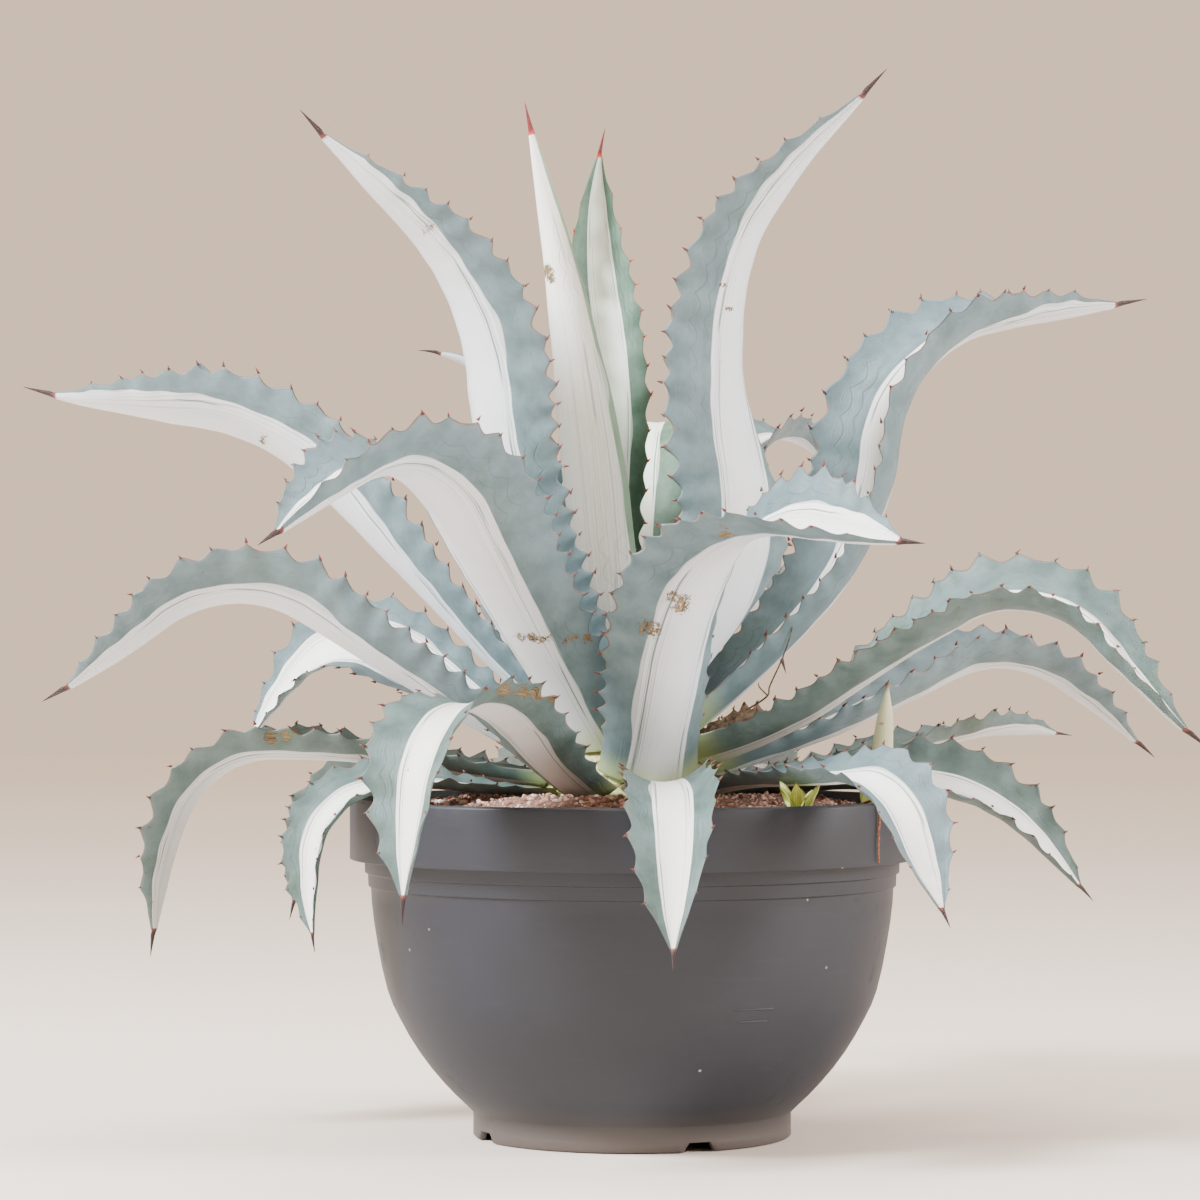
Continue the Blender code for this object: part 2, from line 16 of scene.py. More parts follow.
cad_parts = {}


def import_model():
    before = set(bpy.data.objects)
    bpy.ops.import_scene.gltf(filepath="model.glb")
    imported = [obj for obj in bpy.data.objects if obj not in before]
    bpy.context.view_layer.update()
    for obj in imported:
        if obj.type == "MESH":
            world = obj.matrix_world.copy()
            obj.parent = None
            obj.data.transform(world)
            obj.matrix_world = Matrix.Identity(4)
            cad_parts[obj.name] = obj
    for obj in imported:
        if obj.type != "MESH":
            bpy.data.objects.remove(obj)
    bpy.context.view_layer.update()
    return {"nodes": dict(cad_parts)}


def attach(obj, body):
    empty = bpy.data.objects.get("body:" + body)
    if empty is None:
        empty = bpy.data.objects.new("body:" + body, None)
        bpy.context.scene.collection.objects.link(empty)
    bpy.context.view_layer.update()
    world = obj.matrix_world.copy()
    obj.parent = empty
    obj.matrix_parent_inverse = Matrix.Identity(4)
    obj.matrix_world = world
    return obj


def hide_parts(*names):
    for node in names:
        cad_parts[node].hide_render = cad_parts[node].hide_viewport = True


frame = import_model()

# %% [markdown]
# ## Units and places
# The frame's origin lies below the middle of the whole plant, and the pot's axis a little to one side. It is
# easiest to think about a pot and its plant from the pot's own axis, in millimetres, so one helper turns such
# a point into the frame's metres and another turns it back.

# %% The pot's axis
MM = 0.001
POT_X = 25.6
POT_Y = -31.7
FULL_TURN = 2 * math.pi


def world(x, y, z):
    """Point in the frame, in metres, from millimetres measured at the pot's axis."""
    return Vector(((x + POT_X) * MM, (y + POT_Y) * MM, z * MM))


def local(point):
    """Point in millimetres measured at the pot's axis, from the frame's metres."""
    return point / MM - Vector((POT_X, POT_Y, 0))


print("pot axis stands at", tuple(round(v, 4) for v in world(0, 0, 0)))

# %% [markdown]
# ## Helpers for meshes
# A stem, a root, a spear and a leaf are all skins round a line. Blender's grid operator gives a flat sheet
# with a UV map; rolling the sheet up and merging its seam gives a closed skin, and each point keeps its UV
# place. Attributes painted on the points (how far along, how far across) let one material draw stripes that
# follow every bend, which Object coordinates couldn't.

# %% Objects and pieces
def new_object(name, data):
    """Object in the scene that shows a mesh, a light or a camera."""
    made = bpy.data.objects.new(name, data)
    bpy.context.scene.collection.objects.link(made)
    return made


def mesh_object(bm, name, material):
    """Object made from a bmesh, with its material."""
    mesh = bpy.data.meshes.new(name)
    bm.to_mesh(mesh)
    bm.free()
    mesh.materials.append(material)
    return new_object(name, mesh)


def piece(bm, name, material, slot, *nodes):
    """Object that stands for those nodes and rides on the part's one body."""
    made = mesh_object(bm, name, material)
    made.data.shade_smooth()
    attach(made, "root")
    if nodes:
        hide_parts(*nodes)
    print(name, len(made.data.polygons), "faces")


def new_skin(*attributes):
    """Empty bmesh with a UV map, and the layers of its points' attributes."""
    bm = bmesh.new()
    bm.loops.layers.uv.new("UVMap")
    return bm, [bm.verts.layers.float.new(name) for name in attributes]


def store(vert, layers, values):
    """Set the attributes of one point."""
    for layer, value in zip(layers, values):
        vert[layer] = value


# %% Values along a line
def at(table, share):
    """Smooth value of a table of (share, value) pairs: a cubic through its points."""
    for i in range(len(table) - 1):
        x0, y0 = table[i]
        x1, y1 = table[i + 1]
        if share <= x1:
            break
    before = table[max(i - 1, 0)]
    after = table[min(i + 2, len(table) - 1)]
    run = x1 - x0
    slope0 = (y1 - before[1]) / (x1 - before[0])
    slope1 = (after[1] - y0) / (after[0] - x0)
    t = min(1.0, (share - x0) / run)
    curve = (1 + 2 * t) * (1 - t) ** 2 * y0 + t * (1 - t) ** 2 * run * slope0
    return curve + t * t * (3 - 2 * t) * y1 - t * t * (1 - t) * run * slope1


def straight(values, share):
    """Value at a share along values that are spaced evenly, with straight runs between them."""
    place = min(share, 0.999999) * (len(values) - 1)
    i = int(place)
    return values[i] + (values[i + 1] - values[i]) * (place - i)


def smooth(low, high, value):
    """0 below low, 1 above high, and an even S-curve between them."""
    t = min(1.0, max(0.0, (value - low) / (high - low)))
    return t * t * (3 - 2 * t)


print("halfway up a ramp from 0 to 1:", smooth(0, 1, 0.5))


# %% Roll a grid into a closed skin
def rolled(bm, rings, around, place, paint=None):
    """Closed skin: place(ring, step) gives each point, and paint(vert, ring, step) sets its attributes."""
    before = set(bm.verts)
    bmesh.ops.create_grid(bm, x_segments=rings, y_segments=around, size=1.0, calc_uvs=True)
    fresh = [vert for vert in bm.verts if vert not in before]
    for vert in fresh:
        ring = round((vert.co.x + 1) / 2 * rings)
        step = round((vert.co.y + 1) / 2 * around)
        vert.co = place(ring, step)
        if paint:
            paint(vert, ring, step)
    bmesh.ops.remove_doubles(bm, verts=fresh, dist=1e-6)
    fresh = [vert for vert in bm.verts if vert not in before]
    rims = [edge for edge in bm.edges if edge.is_boundary]
    bmesh.ops.holes_fill(bm, edges=rims, sides=around + 2)
    faces = list({face for vert in fresh for face in vert.link_faces})
    bmesh.ops.recalc_face_normals(bm, faces=faces)


# %% [markdown]
# ## The leaf's finish
# The real leaf has a cream-white middle band and blue-green margins with a waxy bloom. Between them run a few
# hair-thin stripes. Buds press their neighbours' teeth into the soft bloom, which leaves scalloped ghost
# lines. Old leaves have corky brown scars and spots where the bloom has been rubbed off. The pattern, the
# scars and the fibres follow attributes of the points, above all across (-1 to 1 from margin to margin) and
# along (metres from the base); the other wear is noise at Object coordinates.

# %% Short names for shader nodes
class Nodes:
    """Small helper that adds and links the nodes of one material or group."""

    def __init__(self, tree):
        self.tree = tree

    def add(self, kind, settings=None, **sockets):
        """Node with its settings, whose named sockets take a value or another node's result."""
        node = self.tree.nodes.new(kind)
        for name, value in (settings or {}).items():
            setattr(node, name, value)
        for label, source in sockets.items():
            self.link(source, node.inputs[label])
        return node

    def link(self, source, socket):
        """Put another node's result, a number or a colour's three screen values into a socket."""
        if isinstance(source, bpy.types.NodeSocket):
            self.tree.links.new(source, socket)
        else:
            socket.default_value = colour(*source) if isinstance(source, tuple) else source

    def fill(self, node, *values):
        """First result of a node whose sockets take those values in their order."""
        for value, socket in zip(values, node.inputs):
            self.link(value, socket)
        return node.outputs[0]

    def math(self, operation, *values):
        return self.fill(self.add("ShaderNodeMath", {"operation": operation}), *values)

    def times(self, a, b):
        return self.math("MULTIPLY", a, b)

    def plus(self, a, b):
        return self.math("ADD", a, b)

    def minus(self, a, b):
        return self.math("SUBTRACT", a, b)

    def gap(self, a, b):
        """Distance between two values."""
        return self.math("ABSOLUTE", self.minus(a, b))

    def weighed(self, start, *parts):
        """Start plus each part's value times its weight."""
        for value, weight in parts:
            start = self.math("MULTIPLY_ADD", value, weight, start)
        return start

    def ramp(self, value, low, high, out_low=0.0, out_high=1.0):
        """Rises from 0 at low to 1 at high."""
        node = self.add("ShaderNodeMapRange", {"interpolation_type": "SMOOTHSTEP"})
        return self.fill(node, value, low, high, out_low, out_high)

    def within(self, value, near, far):
        """Falls from 1 at near to 0 at far."""
        return self.ramp(value, near, far, 1.0, 0.0)

    def mix(self, factor, a, b):
        node = self.add("ShaderNodeMix", {"data_type": "RGBA"})
        for source, socket in ((factor, 0), (a, 6), (b, 7)):
            self.link(source, node.inputs[socket])
        return node.outputs[2]

    def over(self, under, shade, mask, strength=1.0):
        """Colour with another shade laid over it where the mask is."""
        return self.mix(self.times(mask, strength), under, shade)

    def noise(self, vector, scale, detail=3.0, rough=0.5):
        sockets = {"Vector": vector, "Scale": scale, "Detail": detail, "Roughness": rough}
        return self.add("ShaderNodeTexNoise", **sockets).outputs[0]

    def stretched(self, parts, scales, detail=3.0, rough=0.5):
        """Noise that has a scale of its own along each of three parts."""
        scaled = [self.times(part, scale) for part, scale in zip(parts, scales)]
        return self.noise(self.fill(self.add("ShaderNodeCombineXYZ"), *scaled), 1.0, detail, rough)

    def cells(self, vector, scale):
        """Distance from the middle of scattered cells."""
        return self.add("ShaderNodeTexVoronoi", Vector=vector, Scale=scale).outputs["Distance"]

    def group(self, group, **values):
        return self.add("ShaderNodeGroup", {"node_tree": group}, **values).outputs

    def attribute(self, name):
        return self.add("ShaderNodeAttribute", {"attribute_name": name}).outputs["Fac"]

    def place(self):
        return self.add("ShaderNodeTexCoord").outputs["Object"]

    def split(self, vector):
        return self.add("ShaderNodeSeparateXYZ", Vector=vector).outputs

    def finish(self, shader, shade, relief, strength, depth):
        """Colour and relief of a shader; depth in metres is how far the relief rises."""
        self.link(shade, shader.inputs["Base Color"])
        bump = self.add("ShaderNodeBump", Strength=strength, Distance=depth, Height=relief)
        self.link(bump.outputs[0], shader.inputs["Normal"])


def colour(red, green, blue):
    """Linear colour with alpha from screen values out of 255."""
    return tuple(((v / 255 + 0.055) / 1.055) ** 2.4 for v in (red, green, blue)) + (1.0,)


def new_material(name, roughness):
    """Material with a Principled shader; returns it, its node helper and its shader."""
    material = bpy.data.materials.new(name)
    material.use_nodes = True
    shader = material.node_tree.nodes["Principled BSDF"]
    shader.inputs["Roughness"].default_value = roughness
    return material, Nodes(material.node_tree), shader


def new_group(name, inputs, outputs):
    """Empty shader group of number sockets: it, its node helper, and its input and output sockets."""
    group = bpy.data.node_groups.new(name, "ShaderNodeTree")
    for side, labels in (("INPUT", inputs), ("OUTPUT", outputs)):
        for label in labels:
            group.interface.new_socket(label, in_out=side, socket_type="NodeSocketFloat")
    nodes = Nodes(group)
    return group, nodes, nodes.add("NodeGroupInput").outputs, nodes.add("NodeGroupOutput").inputs


print("mid grey in linear light:", round(colour(128, 128, 128)[0], 3))

# %% [markdown]
# A shader group is built once and placed in each leaf finish with its own values. This first one puts out
# masks for the pattern: where the pale band is, where a hair stripe runs, and where a ghost line is pressed
# in. The band's own half width comes from an attribute, and slow noise along the leaf lets its edge wander.

# %% Pale band of the leaf
pattern, n, given, out = new_group(
    "leaf_pattern", ["Stripes"], ["Pale", "Middle tone", "Stripe", "Ghost", "Edge"])
across, along, seed = [n.attribute(name) for name in ("across", "along", "seed")]
side_sign = n.math("SIGN", across)
edge = n.math("ABSOLUTE", across)
wander = n.stretched((side_sign, along, seed), (3.0, 9.0, 1.0), 2.0)
second = n.stretched((side_sign, along, n.plus(seed, 7.0)), (5.0, 14.0, 1.0), 1.0)
limit = n.weighed(n.attribute("band"), (n.minus(wander, 0.5), 0.16))
n.link(n.within(edge, n.minus(limit, 0.008), n.plus(limit, 0.012)), out["Pale"])
middle = n.weighed(limit, (n.ramp(second, 0.5, 0.75), 0.10))
n.link(n.within(edge, n.minus(middle, 0.01), n.plus(middle, 0.01)), out["Middle tone"])
n.link(edge, out["Edge"])

# %% Hair stripes and ghost lines
threads = n.stretched((across, along, seed), (26.0, 1.6, 1.0), 1.0)
thin = n.within(n.gap(threads, 0.52), 0.0, 0.03)
near = n.ramp(edge, n.times(limit, 0.15), n.times(limit, 0.95))
beside = n.gap(edge, n.times(limit, 0.80))
long_line = n.times(n.within(beside, 0.004, 0.020), n.ramp(second, 0.46, 0.54))
stripes = n.math("MAXIMUM", n.times(thin, near), long_line)
n.link(n.times(stripes, given["Stripes"]), out["Stripe"])

GHOST_PITCH = 190.0
GHOST_HALF = 0.018
GHOSTS = ((0.80, 0.10), (0.62, 0.07))
scallop = n.math("ABSOLUTE", n.math("SINE", n.times(along, GHOST_PITCH)))
ghosts = 0.0
for inset, depth in GHOSTS:
    line = n.weighed(inset, (scallop, -depth), (n.minus(second, 0.5), 0.2))
    ghosts = n.math("MAXIMUM", ghosts, n.within(n.gap(line, edge), 0.0, GHOST_HALF))
n.link(n.times(ghosts, n.ramp(wander, 0.42, 0.62)), out["Ghost"])
print("pattern group has", len(pattern.nodes), "nodes")

# %% Wear of the leaf
wear, n, given, out = new_group(
    "leaf_wear", ["Rubbed", "Specks"], ["Rubbed", "Speck", "Scar", "Mottle", "Grain"])
place = n.place()
patches = n.noise(place, 28.0, 5.0, 0.6)
n.link(n.times(n.ramp(patches, 0.58, 0.66), given["Rubbed"]), out["Rubbed"])
dots = n.times(n.within(n.cells(place, 95.0), 0.05, 0.12), n.ramp(n.noise(place, 17.0), 0.56, 0.62))
n.link(n.times(dots, given["Specks"]), out["Speck"])
ragged = n.minus(n.noise(place, 420.0, 6.0, 0.75), 0.5)
n.link(n.ramp(n.weighed(n.attribute("scar"), (ragged, 2.6)), 0.62, 0.74), out["Scar"])
n.link(n.noise(place, 55.0, 6.0, 0.6), out["Mottle"])
fibres = [n.attribute(name) for name in ("across", "along", "seed")]
n.link(n.stretched(fibres, (90.0, 60.0, 1.0), 4.0, 0.6), out["Grain"])
print("wear group has", len(wear.nodes), "nodes")

# %% [markdown]
# The finish itself mixes colours with those masks. Shaders stay in the material, because a baker can't read a
# shader inside a group. One function makes the finishes of mature, young and weathered leaves, which differ
# in the colour of their margins and in how worn they are.

# %% Leaf finishes
def leaf_material(name, margin, shade, pale, pale_under_shaded, stripes, rubbed, specks, horn_base, horn_tip):
    """Finish of a leaf from its colours and from how striped, rubbed and specked it is."""
    material, n, shader = new_material(name, 0.5)
    marks = n.group(pattern, Stripes=stripes)
    worn = n.group(wear, Rubbed=rubbed, Specks=specks)
    mottle = n.ramp(worn["Mottle"], 0.15, 0.85)
    green = n.mix(mottle, shade, margin)
    green = n.over(green, (58, 88, 58), worn["Rubbed"], 0.55)
    green = n.over(green, (64, 86, 88), marks["Ghost"], 0.40)
    half_tone = n.mix(0.5, green, pale)
    # Painted shade: the white of the lower face is a darker, cooler copy of the upper white, standing in for
    # the shade under the leaf
    white = n.mix(n.attribute("upper"), pale_under_shaded, pale)
    white = n.over(white, (206, 196, 178), n.minus(1.0, mottle), 0.12)
    white = n.over(white, (188, 198, 194), n.ramp(worn["Grain"], 0.5, 0.75), 0.35)
    white = n.over(white, (78, 102, 98), marks["Stripe"], 0.90)
    white = n.over(white, (176, 176, 168), marks["Ghost"], 0.22)
    skin = n.mix(marks["Middle tone"], green, half_tone)
    skin = n.mix(marks["Pale"], skin, white)
    rim = n.times(n.ramp(marks["Edge"], 0.955, 0.995), n.ramp(worn["Mottle"], 0.42, 0.6))
    skin = n.over(skin, (128, 84, 60), rim, 0.6)
    skin = n.over(skin, (176, 190, 122), n.within(n.attribute("share"), 0.0, 0.07), 0.6)
    skin = n.over(skin, (96, 62, 44), worn["Speck"], 0.8)
    cork = n.mix(n.ramp(worn["Grain"], 0.35, 0.65), (58, 42, 28), (150, 128, 88))
    skin = n.mix(worn["Scar"], skin, cork)
    horn = n.attribute("horn")
    tip = n.mix(n.ramp(horn, 0.45, 0.95), horn_base, horn_tip)
    skin = n.mix(n.ramp(horn, 0.08, 0.42), skin, tip)
    rough = n.weighed(0.42, (worn["Mottle"], 0.20), (worn["Scar"], 0.3), (horn, -0.12))
    n.link(rough, shader.inputs["Roughness"])
    relief = n.weighed(0.0, (worn["Grain"], 0.5), (marks["Ghost"], -0.8), (marks["Stripe"], -0.25),
                       (worn["Scar"], -1.6))
    n.finish(shader, skin, relief, 0.6, 0.0006)
    shader.inputs["Specular IOR Level"].default_value = 0.42
    return material


# Each finish's fourth colour is the lower face's white, a darker copy of the third that is painted shade
MATURE = leaf_material(
    "leaf_mature", (112, 134, 140), (78, 98, 104), (250, 252, 252), (216, 222, 230),
    1.0, 0.3, 0.5, (104, 44, 38), (46, 22, 22))
YOUNG = leaf_material(
    "leaf_young", (104, 134, 116), (60, 86, 70), (236, 244, 232), (226, 234, 226),
    1.0, 0.1, 0.15, (206, 66, 42), (110, 34, 34))
WEATHERED = leaf_material(
    "leaf_weathered", (102, 124, 124), (66, 86, 82), (242, 244, 242), (202, 206, 208),
    1.0, 0.8, 0.9, (98, 48, 38), (42, 24, 22))
print("leaf finishes:", MATURE.name, YOUNG.name, WEATHERED.name)

# %% [markdown]
# ## The leaves
# A leaf starts as a grid whose rows run round the blade and whose columns run from base to tip. The blade is
# a channel above and a keel below, thick in the middle and thin at its margins. Along it, the climb, the roll
# and the fold change, which gives arched, kinked and upright leaves from one function. The teeth are cusps of
# the margin, each with a small hard horn, and the leaf ends in a round spine.

# %% The leaves' own numbers
Leaf = namedtuple("Leaf", "name azimuth sweep steep length width seat roll fold teeth")
# Angles are in degrees, sizes in millimetres. A leaf's azimuth turns by sweep on the way to its tip; steep,
# roll and fold are read at even steps along the leaf, and seat is a share of the height of the stem's cone
LEAVES = [Leaf("leaf_" + name, *numbers) for name, *numbers in (
    ("tall_left", 202, 5, (56, 66, 83, 43, 43), 418, 100, .80, (0, -5, 15), (60, 47, 50), 14),
    ("tall_right", 334, -2, (52, 55, 84, 102, 92, 76, 51, 44, 41), 440, 102, .74,
     (0, 31, -2, -10, -25), (60, 24, 42, 46, 50), 14),
    ("high_right", 18, 0, (36, 46, 83, 12, 10), 462, 104, .50, (0, -8, 0), (50, 60, 62), 14),
    ("high_left", 162, 4, (36, 45, 46, 5, 15), 458, 94, .48, (0, -35, -10), (45, 40, 45), 14),
    ("arch_left", 230, 0, (50, 47, 50, -24, -28), 374, 104, .37, (0, 0, -15), (50, 60, 60), 13),
    ("mid_left", 187, -8, (20, 33, 31, -37, -30), 370, 90, .27, (0, -15, -8), (40, 50, 50), 13),
    ("behind_left", 156, 3, (26, 35, 28, -46, -56), 280, 62, .17, (0, 54, 42), (30, 45, 50), 9),
    ("low_left", 178, -3, (4, 9, 0, -71, -85), 342, 72, .09, (0, 0, -15), (24, 47, 50), 10),
    ("kinked_left", 203, -3, (0, 8, -10, -85, -100), 238, 46, .0, (0, 18, 23), (18, 41, 50), 8),
    ("front_left", 239, 6, (20, 34, -4, -74, -88), 318, 70, .0, (0, -6, -24), (18, 30, 45), 9),
    ("front_short", 280, -16, (10, 6, -20, -62, -80), 244, 57, .0, (0, -5, -20), (20, 50, 50), 7),
    ("front_big", 283, 56, (58, 68, 43, -10, -6), 308, 106, .10, (0, -12, -30), (40, 48, 50), 12),
    ("arch_right", 345, -5, (14, 34, 29, -50, -38), 378, 86, .28, (8, -19, 2), (38, 46, 46), 13),
    ("mid_right", 21, 2, (14, 19, 25, -30, -40), 356, 82, .16, (0, 0, -24), (30, 54, 54), 11),
    ("small_right", 36, 4, (0, 4, 12, 5, -9), 334, 51, .06, (0, 0, 28), (20, 49, 50), 9),
    ("low_right", 3, -3, (4, 5, -6, -44, -50), 264, 60, .0, (0, -33, -32), (24, 47, 50), 9),
    ("front_right", 315, -8, (14, 2, 4, -63, -55), 260, 59, .0, (0, -12, -8), (26, 42, 45), 9),
    ("back_tall", 140, 40, (50, 72, 88, 62, 0), 284, 58, .60, (0, 0, 0), (40, 50, 50), 9),
    ("inner_right", 109, 14, (36, 82, 92, 84, 74, 94, 116), 362, 58, .98, (10, 18, 5), (60, 60, 60), 10),
    ("back_left", 114, 5, (50, 54, 50, 25, 0), 350, 78, .28, (0, 0, 0), (34, 50, 50), 11),
    ("back_right_high", 60, -6, (50, 62, 60, 10, -35), 318, 72, .66, (0, 0, 0), (48, 50, 50), 10),
    ("back_high", 84, 0, (60, 66, 55, 0, -30), 330, 70, .76, (0, 0, 0), (50, 50, 50), 10),
    ("back_mid", 106, 0, (30, 42, 25, -20, -50), 330, 80, .16, (0, 0, 0), (35, 50, 50), 10),
    ("back_mid_right", 70, -2, (34, 42, 20, -25, -50), 320, 70, .42, (0, 0, 0), (38, 50, 50), 10),
    ("back_low_right", 67, -2, (5, 10, -8, -60, -75), 280, 60, .0, (0, 0, 0), (20, 50, 50), 8),
    ("back_low", 107, 0, (5, 8, -5, -60, -75), 270, 62, .0, (0, 0, 0), (20, 50, 50), 8),
    ("back_low_left", 146, 0, (5, 8, -8, -60, -75), 275, 60, .0, (0, 0, 0), (28, 50, 50), 8),
)]
print("leaves:", len(LEAVES))

# %% Which leaf is young, worn or scarred
FINISH = {"leaf_inner_right": YOUNG, "leaf_back_high": YOUNG}
for name in ("low_left", "kinked_left", "front_left", "front_short", "arch_right", "small_right", "low_right",
             "back_low", "back_low_right", "back_low_left"):
    FINISH["leaf_" + name] = WEATHERED
# Scars: the place of each across the picture's plane (x and z at the pot's axis) and its radius
SCARS = {
    "leaf_front_big": ((27, 335, 8), (10, 318, 8), (53, 373, 5), (31, 330, 6)),
    "leaf_front_left": ((-76, 281, 6), (-66, 280, 5), (-57, 279, 6), (-48, 277, 5)),
    "leaf_low_left": ((-226, 250, 6), (-216, 251, 5)),
    "leaf_tall_left": ((-125, 562, 4),),
    "leaf_tall_right": ((58, 523, 2.4), (61, 516, 2), (55, 530, 2)),
    "leaf_arch_left": ((-68, 314, 4), (-58, 313, 5), (-48, 313, 4), (-38, 312, 5), (-28, 312, 4)),
    "leaf_high_left": ((-238, 441, 4),),
    "spear": ((-54, 543, 6), (-51, 538, 4)),
}
# Pale band: its half width as a share of the half leaf, how far it lies to one side, and its width at the tip
PLAIN_BAND = (0.50, 0.0, 0.72)
BANDS = {
    "leaf_tall_left": (0.50, 0.06, 0.92), "leaf_tall_right": (0.46, 0.0, 0.85),
    "leaf_high_left": (0.58, 0.0, 0.88), "leaf_high_right": (0.42, 0.0, 0.85),
    "leaf_arch_left": (0.46, 0.0, 0.62), "leaf_arch_right": (0.40, 0.0, 0.6),
    "leaf_behind_left": (0.62, 0.0, 0.8), "leaf_kinked_left": (0.46, 0.0, 0.55),
    "leaf_low_left": (0.56, 0.0, 0.7), "leaf_low_right": (0.36, 0.0, 0.5),
    "leaf_front_left": (0.42, 0.06, 0.5), "leaf_front_right": (0.44, 0.0, 0.62),
    "leaf_front_short": (0.42, 0.0, 0.5), "leaf_front_big": (0.50, 0.0, 0.75),
    "leaf_inner_right": (0.40, -0.26, 0.5), "leaf_back_tall": (0.80, 0.0, 0.95),
    "leaf_back_high": (0.2, 0.0, 0.3), "leaf_back_right_high": (0.26, 0.0, 0.4),
}
print("leaves with scars:", len(SCARS) - 1)

# %% [markdown]
# A leaf follows a line that leaves the stem's cone at its seat. The line is walked ring by ring, and each
# ring keeps a side and an upward normal, in which the section is drawn later.

# %% The line that a leaf follows
CORE_LOW = 217.0
CORE_HIGH = 294.0
CORE_RADIUS_LOW = 56.0
CORE_RADIUS_HIGH = 12.0
SEAT_GAP = 0.5
CLEAR_BELOW = 8
CLEAR_STEP = 0.25
RINGS_PER_TOOTH = 10


def core_radius(rise):
    """Radius of the stem's cone at a share of its height."""
    return CORE_RADIUS_LOW + (CORE_RADIUS_HIGH - CORE_RADIUS_LOW) * rise


def heading(azimuth, climb):
    """Unit vector of a compass angle and a climb."""
    return Vector((math.cos(climb) * math.cos(azimuth), math.cos(climb) * math.sin(azimuth), math.sin(climb)))


def leaf_rings(leaf):
    """Share, place, direction, side and upward normal at every ring, from base to tip, in millimetres."""
    place = heading(math.radians(leaf.azimuth), 0) * (core_radius(leaf.seat) + SEAT_GAP)
    place.z = CORE_LOW + (CORE_HIGH - CORE_LOW) * leaf.seat
    count = 2 * leaf.teeth * RINGS_PER_TOOTH
    rings = []
    last = None
    for i in range(count + 1):
        share = i / count
        azimuth = math.radians(leaf.azimuth + leaf.sweep * share)
        direction = heading(azimuth, math.radians(straight(leaf.steep, share)))
        if last is not None:
            place = place + (direction + last) * (0.5 * leaf.length / count)
        last = direction
        side = Vector((math.sin(azimuth), -math.cos(azimuth), 0.0))
        up = side.cross(direction)
        roll = math.radians(straight(leaf.roll, share))
        rings.append((share, place, direction, side * math.cos(roll) + up * math.sin(roll),
                      up * math.cos(roll) - side * math.sin(roll)))
    return rings


def clear_of_core(point, direction):
    """Point moved out along the leaf until it is clear of the stem's cone."""
    while True:
        cone = core_radius((point.z - CORE_LOW) / (CORE_HIGH - CORE_LOW))
        if math.hypot(point.x, point.y) >= cone + SEAT_GAP or point.z < CORE_LOW - CLEAR_BELOW:
            return point
        point = point + direction * CLEAR_STEP


print("rings of the first leaf:", len(leaf_rings(LEAVES[0])))

# %% [markdown]
# The teeth are placed one by one with a little chance, as on the plant: their spacing, height and lean vary.
# A tooth on the grid is only a soft cusp, so each gets a small bent cone as its hard horn.

# %% Teeth
Tooth = namedtuple("Tooth", "ring side size lean")
FULL_WIDTH = 80.0
SPINE_SHARE = 0.046
SMALLEST_TOOTH = 0.15
CUSP = 6.4
CUSP_REACH = RINGS_PER_TOOTH * 0.62


def leaf_teeth(leaf, chance):
    """Teeth of both margins, about one for every ten rings."""
    count = 2 * leaf.teeth * RINGS_PER_TOOTH
    full = min(1.0, math.sqrt(leaf.width / FULL_WIDTH))
    teeth = []
    for side in (-1, 1):
        ring = RINGS_PER_TOOTH * (1.0 if side < 0 else 1.5)
        while ring < count * (1 - SPINE_SHARE * 1.8):
            share = ring / count
            size = full * smooth(0.02, 0.16, share) * (1 - 0.6 * smooth(0.72, 0.95, share))
            size *= chance.uniform(0.75, 1.15)
            if size > SMALLEST_TOOTH:
                teeth.append(Tooth(ring, side, size, chance.uniform(-0.25, 0.75)))
            ring += RINGS_PER_TOOTH * chance.uniform(0.85, 1.2) * (1 + 0.5 * smooth(0.7, 0.95, share))
    return teeth


def cusp(teeth, ring, side):
    """Height in millimetres of the margin's cusps at a ring: concave flanks that rise to each tooth."""
    height = 0.0
    for tooth in teeth:
        off = abs(ring - tooth.ring) / CUSP_REACH
        if tooth.side == side and off < 1:
            height = max(height, CUSP * tooth.size * (1 - off) ** 1.8)
    return height


print("teeth of the first leaf:", len(leaf_teeth(LEAVES[0], random.Random(1))))

# %% [markdown]
# A section is an arc across the leaf with a body hung under it. Near the end both faces close up into the
# round spine.

# %% Section of a leaf
WIDTH_AT = ((0, .66), (.1, .64), (.3, .82), (.5, 1.0), (.7, .87), (.85, .5), (.91, .24), (.955, .055),
            (1, .02))
THICK_AT = ((0, 6.5), (.3, 5.5), (.6, 4.0), (.85, 2.8), (.94, 2.2), (1, .5))
MARGIN_THICK = 0.5
SPINE_RADIUS = 1.8
SPINE_POINT = 0.12
SPINE_FULL_WIDTH = 90


def across_of(step, around):
    """Place across the blade (-1 to 1) of a step round the section, and 1 on the upper face or 0 below."""
    half = around // 2
    turn = 2 * step / half - 1 if step <= half else 3 - 2 * step / half
    return math.sin(math.pi / 2 * max(-1.0, min(1.0, turn))), 1.0 if step <= half else 0.0


